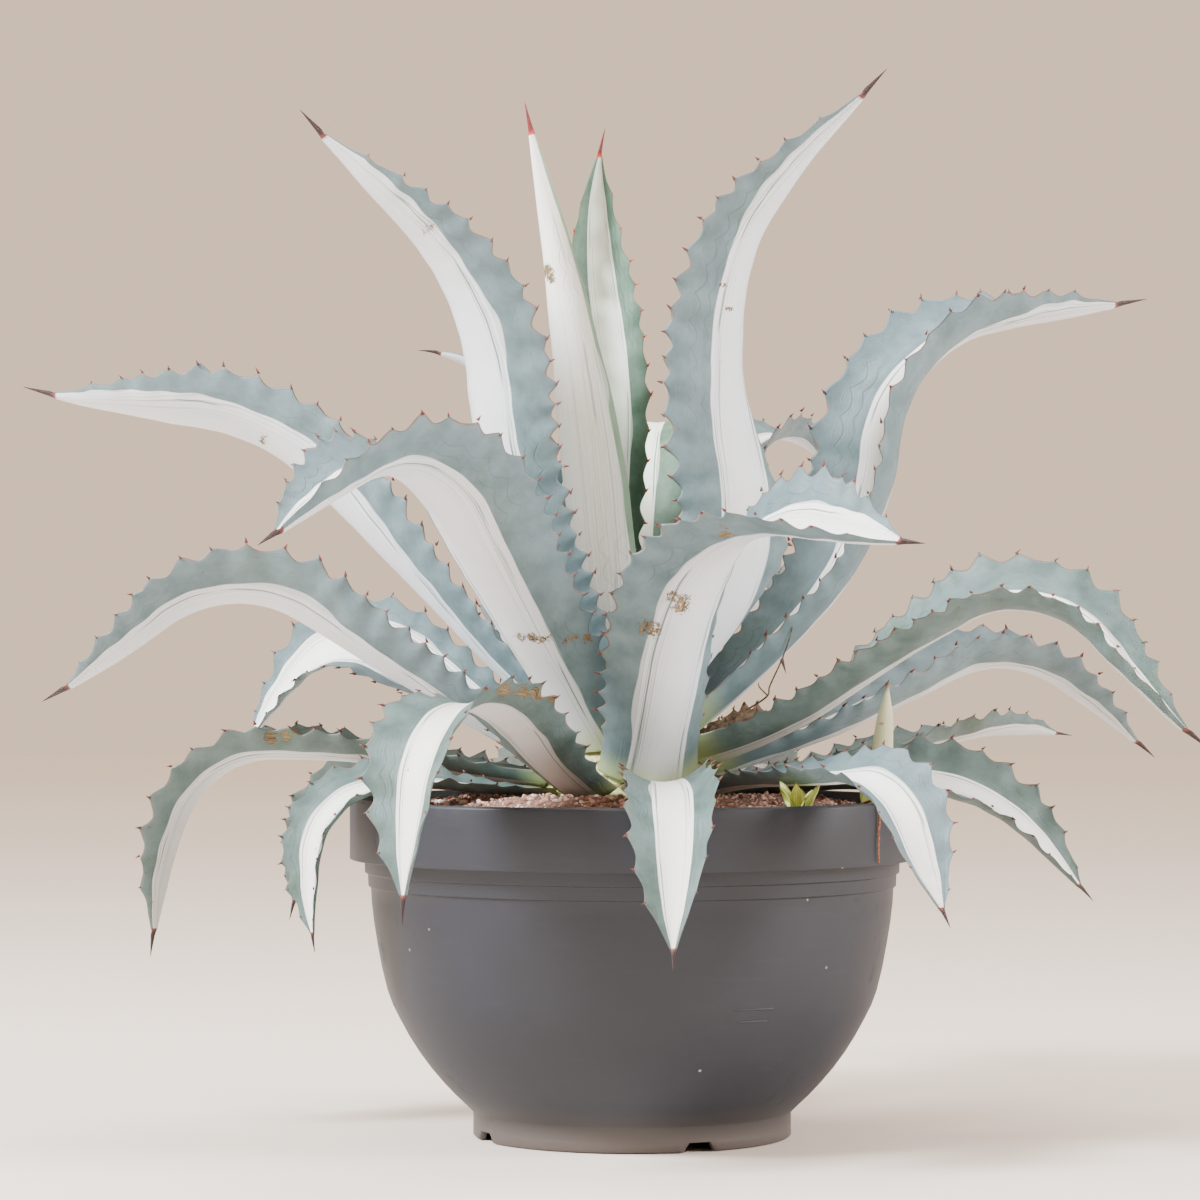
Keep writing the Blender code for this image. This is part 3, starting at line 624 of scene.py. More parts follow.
def section(leaf, share, across, upper, cusps, wave):
    """Point of the section as (side, up) in millimetres."""
    fold = math.radians(straight(leaf.fold, share))
    bend = leaf.width / 2 * at(WIDTH_AT, share) / fold
    thick = at(THICK_AT, share) * min(1.0, leaf.width / FULL_WIDTH)
    turn = across * fold
    reach = cusps[0 if across < 0 else 1] * smooth(0.80, 1.0, abs(across))
    x = bend * math.sin(turn) + math.copysign(reach * math.cos(turn), across)
    z = bend * (1 - math.cos(turn)) + reach * abs(math.sin(turn)) + wave * abs(across) ** 3
    if not upper:
        body = thick * (1 - abs(across) ** 1.9) + MARGIN_THICK * (1 - abs(across) ** 8)
        x += body * math.sin(turn)
        z -= body * math.cos(turn)
    spine = smooth(1 - SPINE_SHARE * 1.25, 1 - SPINE_SHARE * 0.85, share)
    if spine > 0:
        thin = min(1.0, leaf.width / SPINE_FULL_WIDTH) * (1 - share) / SPINE_SHARE
        radius = SPINE_POINT + SPINE_RADIUS * thin
        angle = math.pi * (1 - across) / 2 * (1 if upper else -1)
        x += (radius * math.cos(angle) - x) * spine
        z += (radius * math.sin(angle) - z) * spine
    return x, z


# %% Scars and horns
ATTRIBUTES = ("across", "along", "share", "upper", "horn", "scar", "seed", "band")
HORN_SIDES = 6
HORN_SUNK = 1.4
HORN_BAND = 0.3


def scar_at(name, point):
    """How scarred a point is: 1 in the middle of a scar, 0 outside."""
    worst = 0.0
    for x, z, radius in SCARS.get(name, ()):
        away = math.hypot(point.x - x, point.z - z) / radius
        worst = max(worst, 1 - smooth(0.2, 1.5, away))
    return worst


def add_horn(bm, layers, leaf, foot, outward, forward, up, tooth, share, seed):
    """Small hard horn of a tooth: a flattened cone that leans along the margin."""
    length = 3.8 * tooth.size + 0.8
    aim = (outward + forward * tooth.lean).normalized()
    turn = aim.to_track_quat("Z", "Y").to_matrix().to_4x4()
    stand = Matrix.Translation(foot + aim * (length / 2 - HORN_SUNK)) @ turn
    made = bmesh.ops.create_cone(
        bm, cap_ends=True, segments=HORN_SIDES, radius1=0.95 * tooth.size + 0.2, radius2=0.1, depth=length,
        matrix=stand)
    for vert in made["verts"]:
        far = (vert.co - foot).dot(aim) / length
        vert.co += forward * (far * far * 1.2 * tooth.lean)
        vert.co -= up * ((vert.co - foot).dot(up) * 0.25)
        store(vert, layers, (tooth.side, share * leaf.length * MM, share, 0.5, 0.25 + 0.75 * max(0.0, far),
                             0.0, seed, HORN_BAND))
        vert.co = world(*vert.co)


# %% Make one leaf
AROUND = 28
SWELL_SCALE = 0.025
SWELL = 0.9
WAVE = 1.3


def make_leaf(leaf, material, index, slot="leaf_flesh"):
    """One leaf: rolled grid, cusped margins, horns and end spine."""
    chance = random.Random(index * 7 + 3)
    seed = index * 1.37
    rings = leaf_rings(leaf)
    count = len(rings) - 1
    teeth = leaf_teeth(leaf, chance)
    cusps = [(cusp(teeth, i, -1), cusp(teeth, i, 1)) for i in range(count + 1)]
    bm, layers = new_skin(*ATTRIBUTES)

    def place(ring, step):
        share, centre, direction, side, up = rings[ring]
        across, upper = across_of(step, AROUND)
        grown = smooth(0.05, 0.3, share)
        wave = WAVE * math.sin(ring * 0.42 + seed + (2 if across > 0 else 0)) * grown
        x, z = section(leaf, share, across, upper, cusps[ring], wave * (1 - smooth(0.8, 0.94, share)))
        point = centre + side * x + up * z
        swell = noise.noise(point * SWELL_SCALE + Vector((seed, 0, 0))) * SWELL * grown
        point = point + up * swell * (1 - smooth(0.85, 0.95, share))
        if ring < 3:
            point = clear_of_core(point, direction)
        return world(*point)

    def paint(vert, ring, step):
        share = rings[ring][0]
        across, upper = across_of(step, AROUND)
        if abs(across) > 0.999:
            upper = 0.5
        horn = smooth(1 - SPINE_SHARE * 1.3, 1 - SPINE_SHARE * 0.9, share)
        width, shift, at_tip = BANDS.get(leaf.name, PLAIN_BAND)
        width += (at_tip - width) * smooth(0.62, 0.95, share)
        shifted = across + shift * (1 - across * across)
        scar = scar_at(leaf.name, local(vert.co))
        store(vert, layers, (shifted, share * leaf.length * MM, share, upper, horn, scar, seed, width))

    rolled(bm, count, AROUND, place, paint)
    for tooth in teeth:
        share, centre, direction, side, up = rings[min(count, round(tooth.ring))]
        x, z = section(leaf, share, tooth.side, 1.0, (CUSP * tooth.size, CUSP * tooth.size), 0.0)
        fold = math.radians(straight(leaf.fold, share))
        outward = side * (tooth.side * math.cos(fold)) + up * math.sin(fold)
        add_horn(bm, layers, leaf, centre + side * x + up * z, outward, direction, up, tooth, share, seed)
    piece(bm, leaf.name + "_blade", material, slot, leaf.name)


for number, leaf in enumerate(LEAVES):
    make_leaf(leaf, FINISH.get(leaf.name, MATURE), number + 1)

# %% [markdown]
# ## The spear
# The youngest leaves are still rolled round each other in the middle. From outside that is one tall cone
# whose outer leaf overlaps itself along a seam, so it is a rolled grid whose radius grows round the section
# and steps back at the seam. The seam carries the outer leaf's green margin and its small soft teeth.

# %% The spear's numbers
SPEAR_LENGTH = 360.0
SPEAR_FOOT = (-6.0, 0.0, 295.4)
SPEAR_LEAN = (9.0, 8.5, 8.0, 9.5, 12.5, 12.5)
SPEAR_RADIUS_AT = ((0, 9), (.1, 17), (.29, 20), (.37, 19.5), (.47, 17.6), (.54, 15.2), (.65, 12.4),
                   (.83, 6.4), (.945, 2.0), (.955, 1.5), (1, .2))
SPEAR_RINGS = 144
SPEAR_AROUND = 48
SPEAR_WRAP = 0.10
SPEAR_SEED = 4.2
SPEAR_BAND = 0.8
SEAM_TURN = math.radians(-18)
SEAM_TEETH = range(14, 124, 7)
SPEAR_LEAF = Leaf("spear", 0, 0, (90, 90), SPEAR_LENGTH, 40, 1.0, (0, 0), (60, 60), 10)
SPEAR_FINISH = leaf_material(
    "spear_finish", (150, 178, 152), (122, 152, 126), (250, 252, 248), (250, 252, 248),
    0.5, 0.0, 0.05, (186, 40, 50), (116, 26, 36))


def spear_rings():
    """Share, place, direction and side at every ring of the leaning spear."""
    place = Vector(SPEAR_FOOT)
    rings = []
    for i in range(SPEAR_RINGS + 1):
        share = i / SPEAR_RINGS
        lean = math.radians(straight(SPEAR_LEAN, share))
        direction = Vector((-math.sin(lean), 0.0, math.cos(lean)))
        if i:
            place = place + direction * (SPEAR_LENGTH / SPEAR_RINGS)
        rings.append((share, place, direction, Vector((direction.z, 0.0, -direction.x))))
    return rings


def spear_turn(ring, step):
    """Angle of a step round the spear; the seam winds a little on its way up."""
    return SEAM_TURN + FULL_TURN * step / SPEAR_AROUND + 0.5 * math.sin(ring / SPEAR_RINGS * 3.0)


def spear_outward(side, turn):
    return side * math.cos(turn) + Vector((0.0, math.sin(turn), 0.0))


print("the spear's foot stands", SPEAR_FOOT[2], "mm high")

# %% Make the spear
rings = spear_rings()
bm, layers = new_skin(*ATTRIBUTES)


def spear_point(ring, step):
    share, centre, direction, side = rings[ring]
    part = step / SPEAR_AROUND
    body = smooth(0.0, 0.05, share) * (1 - smooth(0.88, 0.95, share))
    wrap = part * (1 - smooth(0.955, 1.0, part)) - 0.5
    grown = at(SPEAR_RADIUS_AT, share) * (1 + SPEAR_WRAP * body * wrap)
    turn = spear_turn(ring, step)
    swell = noise.noise(Vector((math.cos(turn), math.sin(turn), share * 9))) * 0.4 * body
    return world(*(centre + spear_outward(side, turn) * (grown + swell)))


def spear_paint(vert, ring, step):
    share = rings[ring][0]
    part = step / SPEAR_AROUND
    across = 1 - 1.15 * part if part < 0.5 else -1 + 1.7 * (1 - part)
    horn = smooth(0.938, 0.95, share)
    store(vert, layers, (max(-1.0, min(1.0, across)), share * SPEAR_LENGTH * MM, 0.1 + 0.9 * share, 0.8, horn,
                         scar_at("spear", local(vert.co)), SPEAR_SEED, SPEAR_BAND))


rolled(bm, SPEAR_RINGS, SPEAR_AROUND, spear_point, spear_paint)
chance = random.Random(11)
for i in SEAM_TEETH:
    share, centre, direction, side = rings[i]
    outward = spear_outward(side, spear_turn(i, SPEAR_AROUND * 0.975))
    foot = centre + outward * (at(SPEAR_RADIUS_AT, share) * 1.03)
    aim = (outward + direction.cross(outward) * 0.8).normalized()
    size = 0.55 * (1 - 0.5 * share) * chance.uniform(0.8, 1.1)
    tooth = Tooth(i, 1, size, chance.uniform(0.2, 0.9))
    add_horn(bm, layers, SPEAR_LEAF, foot, aim, direction, outward, tooth, share, SPEAR_SEED)
piece(bm, "spear_rolled_leaves", SPEAR_FINISH, "young_leaf_flesh", "spear")

# %% [markdown]
# ## Stem
# The leaves clasp a short fat stem. Only slivers of it show between their bases, pale green with the brown
# rings that fallen leaves left. The CAD solid has the right shape, so it keeps its mesh and only gets this
# finish on its Object coordinates.

# %% Stem finish
def stem_material():
    """Pale green skin with brown rings and loose fibres."""
    material, n, shader = new_material("stem_finish", 0.65)
    place = n.place()
    height = n.split(place)[2]
    bands = n.math("SINE", n.weighed(0.0, (height, 900.0), (n.noise(place, 60.0), 9.0)))
    bands = n.ramp(bands, 0.2, 0.9)
    fibres = n.noise(place, 420.0, 5.0, 0.6)
    skin = n.mix(n.noise(place, 45.0, 4.0), (150, 160, 96), (206, 206, 150))
    skin = n.over(skin, (104, 76, 48), bands, 0.7)
    skin = n.over(skin, (78, 54, 36), n.ramp(fibres, 0.55, 0.7))
    n.finish(shader, skin, n.plus(fibres, bands), 0.7, 0.0008)
    return material


core = frame["nodes"]["core"]
core.data.materials.clear()
core.data.materials.append(stem_material())
print("stem finish on", core.name)

# %% [markdown]
# ## The planter
# A big injection-moulded bowl in matt charcoal plastic: a wide rim band that hangs over the wall, two narrow
# ledges under it, a plain bowl and a small foot ring with four notches. It is a turned shape, so a profile is
# spun round the axis and its corners get a small bevel. Spinning it in finer steps than the CAD solid
# keeps its outline round in close views.

# %% Turn a profile
TURN_STEPS = 180


def lathe(profile):
    """Closed turned shell from a profile whose ends lie on the axis."""
    bm = bmesh.new()
    verts = [bm.verts.new(world(radius, 0, height)) for radius, height in profile]
    edges = [bm.edges.new(pair) for pair in zip(verts, verts[1:])]
    bmesh.ops.spin(bm, geom=verts + edges, cent=world(0, 0, 0), axis=(0, 0, 1), angle=FULL_TURN,
                   steps=TURN_STEPS, use_merge=True)
    bmesh.ops.remove_doubles(bm, verts=bm.verts[:], dist=1e-6)
    bmesh.ops.recalc_face_normals(bm, faces=bm.faces[:])
    return bm


print("one step of a turned piece covers", 360 / TURN_STEPS, "degrees")


# %% Planter finish
def planter_material():
    """Charcoal plastic with a drawn grain, a little dust, pale flecks and a dusty foot."""
    material, n, shader = new_material("planter_plastic", 0.6)
    place = n.place()
    parts = n.split(place)
    blotch = n.noise(place, 9.0, 5.0, 0.55)
    grain = n.noise(place, 900.0, 3.0, 0.6)
    drawn = n.stretched(parts, (26.0, 26.0, 190.0), 4.0, 0.6)
    dust = n.ramp(n.noise(place, 38.0, 7.0, 0.68), 0.56, 0.78)
    fleck = n.times(n.within(n.cells(place, 60.0), 0.03, 0.075), n.ramp(n.noise(place, 12.0), 0.60, 0.66))
    base = n.mix(n.ramp(blotch, 0.3, 0.7), (17, 22, 32), (24, 30, 42))
    base = n.over(base, (44, 49, 60), n.ramp(drawn, 0.55, 0.8), 0.20)
    base = n.over(base, (104, 97, 92), dust, 0.10)
    base = n.over(base, (205, 198, 190), fleck, 0.75)
    base = n.over(base, (120, 108, 98), n.within(parts[2], 0.0, 0.03), 0.4)
    n.link(n.weighed(0.46, (blotch, 0.16), (dust, 0.2)), shader.inputs["Roughness"])
    n.finish(shader, base, n.weighed(drawn, (grain, 0.6)), 0.35, 0.0003)
    return material


PLASTIC = planter_material()
print("planter finish:", PLASTIC.name)

# %% Planter
POT_PROFILE = (
    (0, 11), (96, 11), (103, 22.5), (117, 36.5), (131.7, 54.5), (143.6, 74.5), (151.5, 92.8), (157.4, 120.5),
    (161.2, 147), (165.4, 174), (169, 190), (172, 206), (173.5, 212), (176, 212), (177.5, 210.5),
    (177.5, 174), (175, 174), (175, 190), (171.6, 190), (168.2, 174), (168, 165.5), (166.2, 165),
    (165.9, 157), (164.3, 156.5), (163.8, 147), (162.3, 134), (160, 120), (157.4, 106), (154, 92),
    (150.6, 82.6), (146, 73.5), (140.4, 63.2), (134, 53), (126.8, 43.2), (119, 34), (112, 26.6), (105, 20),
    (101.5, 16.5), (100, 15), (100, 6), (100, 1), (99, 0), (96, 0), (95.6, 6), (95, 8), (0, 8))
FOOT_RADIUS = 100
FOOT_INNER = 90
NOTCH_TURN = 24
NOTCH_COUNT = 4
NOTCH_HALF = 7.5
NOTCH_ROOF = 5.6
CORNER = math.radians(28)
CORNERS_FROM = 0.1


def off_notch(turn):
    """Angle between a place on the foot ring and the middle of its nearest notch."""
    notches = [math.radians(NOTCH_TURN + 360 / NOTCH_COUNT * i) for i in range(NOTCH_COUNT)]
    return min(abs(math.remainder(turn - notch, FULL_TURN)) for notch in notches)


bm = lathe(POT_PROFILE)
for vert in bm.verts:
    spot = local(vert.co)
    if spot.z < 1.5 and math.hypot(spot.x, spot.y) > FOOT_INNER:
        if off_notch(math.atan2(spot.y, spot.x)) * FOOT_RADIUS < NOTCH_HALF:
            vert.co.z = (NOTCH_ROOF + 0.3 * spot.z) * MM
corners = [edge for edge in bm.edges if len(edge.link_faces) == 2 and edge.calc_face_angle() > CORNER
           and edge.verts[0].co.z > CORNERS_FROM]
bmesh.ops.bevel(bm, geom=corners, offset=0.0005, offset_type="OFFSET", segments=2, profile=0.5,
                affect="EDGES", material=-1, clamp_overlap=True)
piece(bm, "planter", PLASTIC, "charcoal_plastic", "pot")

# %% [markdown]
# The bowl's mould left two short lines low on its front. They are thin ribs that stand out less than a
# millimetre, so they are arcs of a fine rolled skin, half sunk in the wall.

# %% Mould marks
MARKS = ((90.5, 153.3, 14), (83.0, 150.6, 11))
MARK_TURN = math.radians(298)
MARK_THICK = 0.55
MARK_RINGS = 24
MARK_AROUND = 10


def add_mark(bm, height, radius, half_length):
    """Rib along the wall, thinner at its two ends."""
    def point(ring, step):
        turn = MARK_TURN + (ring / MARK_RINGS - 0.5) * 2 * half_length / radius
        thin = MARK_THICK * min(1.0, min(ring, MARK_RINGS - ring) / 2 + 0.15)
        angle = FULL_TURN * step / MARK_AROUND
        out = radius + thin * math.cos(angle)
        return world(out * math.cos(turn), out * math.sin(turn), height + thin * 1.2 * math.sin(angle))

    rolled(bm, MARK_RINGS, MARK_AROUND, point)


bm, _ = new_skin()
for mark in MARKS:
    add_mark(bm, *mark)
piece(bm, "planter_mould_marks", PLASTIC, "charcoal_plastic")

# %% [markdown]
# ## Soil and gravel
# The planter is filled with a gritty mix: brown compost with pink and rust-red crushed stone, some of it
# pale. The bed is a turned solid with fine steps across its top, whose points are lifted by noise. The stones
# are icospheres of 20 or 80 faces, pushed out of round, since there are thousands. They are made in ten
# batches because an operator on one large bmesh gets slower with each stone.

# %% Soil and stone finishes
def soil_material():
    """Brown compost with rust-red grit in it."""
    material, n, shader = new_material("gritty_compost", 0.95)
    place = n.place()
    fine = n.noise(place, 700.0, 5.0, 0.7)
    grit = n.cells(place, 420.0)
    base = n.mix(n.ramp(fine, 0.35, 0.65), (112, 84, 72), (170, 134, 116))
    base = n.over(base, (158, 104, 82), n.within(grit, 0.10, 0.30), 0.75)
    base = n.over(base, (84, 60, 46), n.ramp(n.noise(place, 40.0, 4.0), 0.45, 0.65), 0.5)
    n.finish(shader, base, n.minus(fine, grit), 1.0, 0.0018)
    return material


STONE_TONES = ((0.0, (106, 80, 70)), (0.22, (152, 112, 96)), (0.5, (192, 150, 132)), (0.72, (214, 184, 168)),
               (0.9, (230, 212, 200)), (1.0, (242, 232, 224)))


def stone_material():
    """Crushed stone whose tone is an attribute of each stone."""
    material, n, shader = new_material("crushed_stone", 0.85)
    tones = n.add("ShaderNodeValToRGB", Fac=n.attribute("tone"))
    elements = tones.color_ramp.elements
    elements.remove(elements[1])
    for i, (where, shade) in enumerate(STONE_TONES):
        element = elements.new(where) if i else elements[0]
        element.position = where
        element.color = colour(*shade)
    fine = n.noise(n.place(), 900.0, 4.0, 0.65)
    base = n.over(tones.outputs[0], (96, 66, 52), n.ramp(fine, 0.4, 0.7), 0.45)
    n.finish(shader, base, fine, 0.8, 0.0006)
    return material


STONE = stone_material()
print("stone finish:", STONE.name)

# %% Bed of soil
HOLE = 57.4
HOLE_FLOOR = 191.5
SOIL_EDGE = 171.2
BED_ROWS = 56
BED_TOP = ((HOLE, 207.5), (80, 207), (112, 206.5), (142, 205.5), (SOIL_EDGE, 202.5))
BED_WALL = ((167.7, 190.2), (164.3, 174), (160.7, 147.2), (156.9, 120.7), (151.0, 93.0), (143.1, 74.7),
            (131.2, 54.7), (116.5, 36.7), (102.5, 22.7), (95, 11.4), (0, 11.4))
LUMP = 1.6
MOUND = 7.0


def bed_height(x, y):
    """Height in millimetres of the soil's surface at a place."""
    radius = math.hypot(x, y)
    lumps = noise.fractal(Vector((x, y, 0)) * 0.06, 0.7, 2.0, 5) * LUMP
    mound = MOUND * (1 - smooth(84, 156, radius))
    loose = smooth(HOLE, 70, radius) * (1 - smooth(162, 171, radius))
    return at(BED_TOP, min(SOIL_EDGE, radius)) + (lumps + mound) * loose


rows = [HOLE + (SOIL_EDGE - HOLE) * i / BED_ROWS for i in range(BED_ROWS + 1)]
top = tuple((radius, at(BED_TOP, radius)) for radius in rows)
bm = lathe(((0, HOLE_FLOOR), (HOLE, HOLE_FLOOR)) + top + BED_WALL)
for vert in bm.verts:
    spot = local(vert.co)
    if spot.z > 201 and HOLE + 1 < math.hypot(spot.x, spot.y) < SOIL_EDGE - 0.2:
        vert.co.z = bed_height(spot.x, spot.y) * MM
piece(bm, "soil_bed", soil_material(), "gravelly_soil", "soil")

# %% Gravel
SECTORS = 10
STONES = 540
STONES_FROM = 60
STONES_TO = 169.5
STONE_REACH = 170.5
FINE_STONE = 3.6
PUP_PLACES = ((99, -124), (151, -32))
PUP_CLEAR = 9


def add_stone(bm, tone_layer, chance, x, y, z, size):
    """Dented stone with a tone of its own; a large one has finer faces."""
    angle = chance.uniform(0, 6.3)
    turn = Matrix.Rotation(angle, 4, Vector((chance.uniform(-1, 1), chance.uniform(-1, 1), 1)))
    wide, deep, high = [chance.uniform(*span) for span in ((0.8, 1.25), (0.7, 1.1), (0.55, 0.85))]
    middle = world(x, y, z)
    stand = Matrix.Translation(middle) @ turn @ Matrix.Diagonal((wide, deep, high, 1))
    made = bmesh.ops.create_icosphere(bm, subdivisions=2 if size > FINE_STONE else 1, radius=size / 2 * MM,
                                      matrix=stand)
    tone = chance.betavariate(1.6, 1.9)
    for vert in made["verts"]:
        dent = noise.noise(vert.co * 900 + Vector((x, y, 0)))
        vert.co = middle + (vert.co - middle) * (1 + 0.35 * dent)
        vert[tone_layer] = tone


total = 0
for sector in range(SECTORS):
    chance = random.Random(sector + 40)
    bm = bmesh.new()
    tone_layer = bm.verts.layers.float.new("tone")
    for i in range(STONES):
        turn = FULL_TURN / SECTORS * (sector + chance.random())
        radius = math.sqrt(chance.uniform(STONES_FROM ** 2, STONES_TO ** 2))
        x, y = radius * math.cos(turn), radius * math.sin(turn)
        size = 1.3 + 3.8 * chance.random() ** 4
        near_pup = any(math.hypot(x - a, y - b) < PUP_CLEAR for a, b in PUP_PLACES)
        if radius + size / 2 <= STONE_REACH and not near_pup:
            height = bed_height(x, y) + size * chance.uniform(-0.05, 0.22)
            add_stone(bm, tone_layer, chance, x, y, height, size)
            total += 1
    piece(bm, f"gravel_{sector + 1}", STONE, "gravelly_soil")
print("stones:", total)

# %% [markdown]
# ## Offsets
# Two young offsets stand at the edge of the soil: a flat tuft of short yellow-green blades, and one that has
# already sent up a long pale blade. Each blade is a small rolled skin, folded along its middle, on a bulb.

# %% Offset finish
def offset_material():
    """Yellow-green striped blade with a straw-coloured foot and a brown tip."""
    material, n, shader = new_material("offset_blades", 0.5)
    share = n.attribute("share")
    stripes = n.stretched((n.attribute("across"), share, n.attribute("seed")), (9.0, 1.5, 1.0))
    dry = n.noise(n.place(), 160.0, 4.0)
    base = n.mix(n.ramp(stripes, 0.35, 0.65), (150, 172, 66), (206, 214, 112))
    base = n.over(base, (226, 234, 206), n.ramp(n.attribute("tone"), 0.0, 1.0), 0.85)
    base = n.over(base, (222, 210, 140), n.within(share, 0.0, 0.25), 0.65)
    base = n.over(base, (112, 66, 44), n.ramp(share, 0.88, 0.99))
    base = n.over(base, (146, 120, 62), n.ramp(dry, 0.6, 0.7), 0.6)
    n.finish(shader, base, stripes, 0.4, 0.0004)
    return material


OFFSET = offset_material()
print("offset finish:", OFFSET.name)

# %% Offsets
Pup = namedtuple("Pup", "name x y turn lean width lengths tones")
PUPS = (
    Pup("pup_front", 99, -124, 20, 40, 9, (23, 19, 25, 21, 23, 18), (.1, .0, .3, .1, .0, .2)),
    Pup("pup_right", 151, -32, 62, 15, 15, (82, 16, 24, 14), (.9, .2, .4, .2)),
)
PUP_RINGS = 18
PUP_AROUND = 16
PUP_FOOT = 205.5
BLADE_WIDTH_AT = ((0, .7), (.3, 1), (.7, .75), (.93, .2), (1, .04))
BLADE_THICK_AT = ((0, 2.0), (.7, 1.3), (1, .25))
BULB_MIDDLE = 203.5
BULB_RADIUS = 6.4
BULB_HALF = 5.5


def add_blade(bm, layers, pup, index):
    """One blade of an offset, keeled along its middle."""
    turn = math.radians(pup.turn + 360 * index / len(pup.lengths))
    outward = Vector((math.cos(turn), math.sin(turn), 0.0))
    side = Vector((-math.sin(turn), math.cos(turn), 0.0))
    place = Vector((pup.x, pup.y, PUP_FOOT + index * 0.3)) + outward * 1.7
    rings = []
    for i in range(PUP_RINGS + 1):
        share = i / PUP_RINGS
        lean = math.radians(pup.lean * (0.35 + 0.9 * share))
        direction = outward * math.sin(lean) + Vector((0.0, 0.0, math.cos(lean)))
        if i:
            place = place + direction * (pup.lengths[index] / PUP_RINGS)
        rings.append((share, place, side.cross(direction)))

    def point(ring, step):
        share, centre, normal = rings[ring]
        across, upper = across_of(step, PUP_AROUND)
        half = pup.width / 2 * at(BLADE_WIDTH_AT, share)
        thick = at(BLADE_THICK_AT, share)
        lift = half * 0.5 * across * across - (0 if upper else thick * (1 - across ** 2))
        wave = 0.25 * math.sin(share * 9 + index * 2) * share
        return world(*(centre + side * (half * across) + normal * (lift + wave)))

    def paint(vert, ring, step):
        across = across_of(step, PUP_AROUND)[0]
        store(vert, layers, (across, rings[ring][0], pup.tones[index], index * 1.7))

    rolled(bm, PUP_RINGS, PUP_AROUND, point, paint)


for pup in PUPS:
    bm, layers = new_skin("across", "share", "tone", "seed")
    for index in range(len(pup.lengths)):
        add_blade(bm, layers, pup, index)
    bulb = bmesh.ops.create_uvsphere(bm, u_segments=20, v_segments=12, radius=1.0)["verts"]
    for vert in bulb:
        vert.co = world(pup.x + vert.co.x * BULB_RADIUS, pup.y + vert.co.y * BULB_RADIUS,
                        BULB_MIDDLE + vert.co.z * BULB_HALF)
        store(vert, layers, (0.0, 0.1, 0.0, 0.0))
    piece(bm, pup.name + "_blades", OFFSET, "offset_flesh", pup.name)

# %% [markdown]
# ## Dry pieces
# A withered leaf has stayed between the living ones on the right, with a wiry stalk on it, and a dry root
# hangs over the rim. The withered leaf is made by the same helper as the others, in a brown wrinkled finish.
# The root is three thin strands that wind round each other, with two loose fibres.

# %% Dry finishes
def dry_material(name, dark, light, fibre_scale):
    """Dull fibres between two browns."""
    material, n, shader = new_material(name, 0.9)
    fibres = n.noise(n.place(), fibre_scale, 5.0, 0.7)
    base = n.mix(n.ramp(fibres, 0.3, 0.7), dark, light)
    n.finish(shader, base, fibres, 0.9, 0.0008)
    return material


DRY_LEAF = dry_material("withered_leaf", (44, 34, 26), (128, 104, 80), 260.0)
DRY_ROOT = dry_material("dry_root_fibre", (78, 40, 28), (172, 112, 84), 700.0)
print("dry finishes:", DRY_LEAF.name, DRY_ROOT.name)

# %% Stalks and strands
RINGS_PER_SPAN = 6


def stem_along(bm, points, radius, taper, around=8):
    """Thin rolled skin through points."""
    last = len(points) - 1
    tables = [[(i / last, point[axis]) for i, point in enumerate(points)] for axis in range(3)]
    count = RINGS_PER_SPAN * last

    def spot(share):
        return Vector([at(table, share) for table in tables])

    def point(ring, step):
        share = ring / count
        direction = (spot(min(1.0, share + 0.01)) - spot(max(0.0, share - 0.01))).normalized()
        helper = Vector((0.3, 1.0, 0.2)) if abs(direction.y) < 0.9 else Vector((1.0, 0.0, 0.2))
        side = direction.cross(helper).normalized()
        other = direction.cross(side)
        turn = FULL_TURN * step / around
        wide = radius * (1 - taper * share)
        return world(*(spot(share) + side * (wide * math.cos(turn)) + other * (wide * math.sin(turn))))

    rolled(bm, count, around, point)


# %% Withered leaf and its stalk
WITHERED = Leaf("dead_leaf", 27, -4, (18, 16, 10, 0, -20), 66, 34, .37, (0, 15, 40), (30, 60, 80), 4)
STALK = ((62, 30, 256), (66, 28, 262), (85, 20, 274.5), (87.5, 16, 282), (94.5, 9, 298), (99, 3, 311),
         (101, 0, 319))
STALK_BRANCH = ((86, 19, 276), (81, 15, 281), (80, 12, 284))
make_leaf(WITHERED, DRY_LEAF, 50, "dry_leaf")
bm, _ = new_skin()
stem_along(bm, STALK, 0.7, 0.5)
stem_along(bm, STALK_BRANCH, 0.6, 0.5)
piece(bm, "dead_leaf_stalk", DRY_LEAF, "dry_leaf")

# %% Dry root
# Its route over the rim: radius and angle in degrees round the pot's axis, and height
ROOT = ((156, -34.6, 207.6), (168, -34.3, 211.4), (173.8, -34.0, 213.7), (177.3, -33.9, 213.2),
        (178.8, -33.9, 210.4), (178.8, -33.8, 200), (178.7, -34.1, 188), (178.6, -33.9, 176))
# Strands: how far each stands off the route, its radius, and how many points short it stops
THICK_STRAND = (0.55, 0.75, 0)
STRANDS = (THICK_STRAND, THICK_STRAND, THICK_STRAND, (0.9, 0.3, 1), (0.9, 0.3, 2))
bm, _ = new_skin()
for strand, (off, strand_radius, short) in enumerate(STRANDS):
    points = []
    for i, (radius, turn, height) in enumerate(ROOT[:len(ROOT) - short]):
        spin = strand * 2.1 + i * 1.15
        grown = radius + off * (0.6 + 0.4 * math.cos(spin))
        angle = math.radians(turn) + off * math.sin(spin) / radius
        rise = off * 0.6 * math.cos(spin + 1)
        points.append((grown * math.cos(angle), grown * math.sin(angle), height + rise))
    stem_along(bm, points, strand_radius, 0.6, around=7)
piece(bm, "dry_root_strands", DRY_ROOT, "dry_root_fibre", "dry_root")
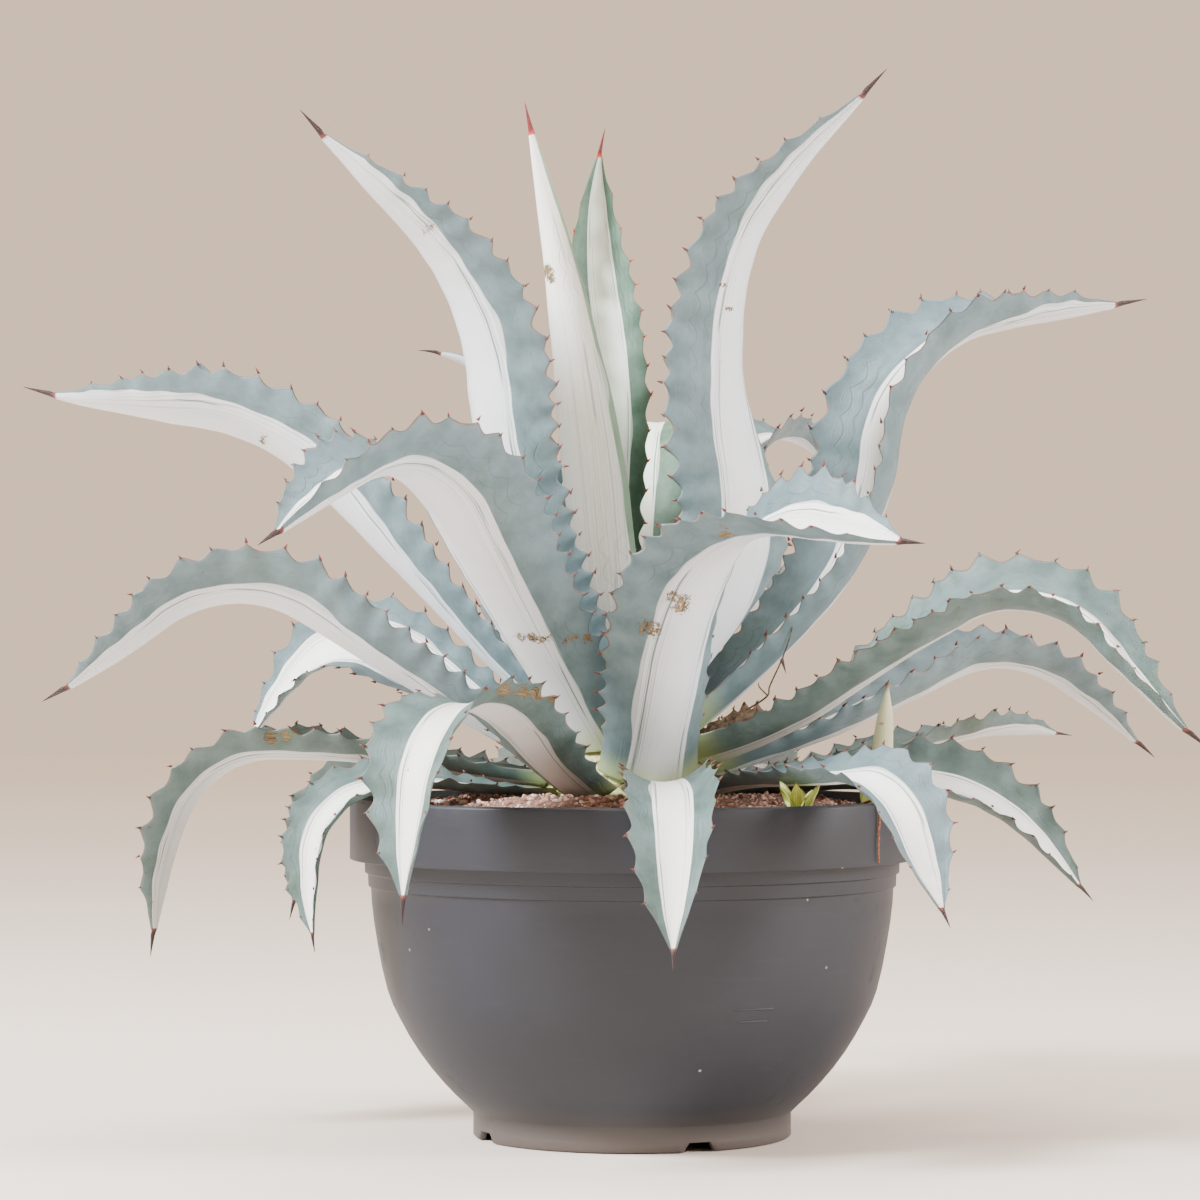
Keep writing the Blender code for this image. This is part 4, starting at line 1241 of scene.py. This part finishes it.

# %% [markdown]
# ## Floor, light and camera
# The floor is plain and pale, and painted lighter far away: a painted brightening that makes up for the
# weaker light out there, so the floor meets the sky without a seam. A large soft light stands high on the
# left in front, a weaker one fills from the right, a third lights the plant from above, and the sky is a warm
# white.
# The camera stands 2.55 m away with a 120 mm lens, level, with a small upward shift, which gives the flat
# perspective of a product picture.

# %% Floor
FLOOR_RADIUS = 9.0
FLOOR_NEAR = 0.8
FLOOR_FAR = 6.0
FLOOR_SUNK = 0.0005

material, n, shader = new_material("pale_floor", 0.7)
near = n.mix(n.noise(n.place(), 3.0, 2.0), (226, 214, 202), (230, 218, 207))
away = n.add("ShaderNodeVectorMath", {"operation": "LENGTH"})
n.link(n.place(), away.inputs[0])
# Painted light: the floor's colour turns lighter away from the middle, standing in for light so it meets the
# sky without a seam
shade = n.over(near, (255, 250, 242), n.ramp(away.outputs["Value"], FLOOR_NEAR, FLOOR_FAR))
n.link(shade, shader.inputs["Base Color"])
bm = bmesh.new()
bmesh.ops.create_circle(bm, cap_ends=True, segments=96, radius=FLOOR_RADIUS)
floor = mesh_object(bm, "floor", material)
floor.location.z = -FLOOR_SUNK
print("floor radius:", FLOOR_RADIUS, "m")

# %% Light
sky = bpy.data.worlds.new("studio")
bpy.context.scene.world = sky
sky.use_nodes = True
background = sky.node_tree.nodes["Background"]
background.inputs["Color"].default_value = colour(246, 216, 188)
background.inputs["Strength"].default_value = 1.2

# Lights: name, place, diameter in metres, power in watts and tint
LIT_POINT = Vector((0, 0, 0.3))
LIGHTS = (
    ("left", (-2.1, -1.2, 2.3), 0.9, 340, (0.94, 0.97, 1.0)),
    ("right", (2.5, -0.7, 1.3), 1.0, 110, (0.97, 0.98, 1.0)),
    ("top", (0.2, 0.5, 2.9), 1.2, 60, (0.97, 0.98, 1.0)),
)
for name, place, size, power, tint in LIGHTS:
    data = bpy.data.lights.new(name, "AREA")
    data.shape = "DISK"
    data.size = size
    data.energy = power
    data.color = tint
    light = new_object(name, data)
    light.location = place
    light.rotation_euler = (LIT_POINT - Vector(place)).to_track_quat("-Z", "Y").to_euler()
print("lights:", [light[0] for light in LIGHTS])

# %% Camera
CAMERA_PLACE = (0.0054, -2.5517, 0.306)
data = bpy.data.cameras.new("camera")
data.lens = 120.0
data.sensor_width = 36.0
data.shift_y = 0.04
camera = new_object("camera", data)
camera.location = CAMERA_PLACE
camera.rotation_euler = (math.pi / 2, 0.0, 0.0)
bpy.context.scene.camera = camera
print("camera at", CAMERA_PLACE)
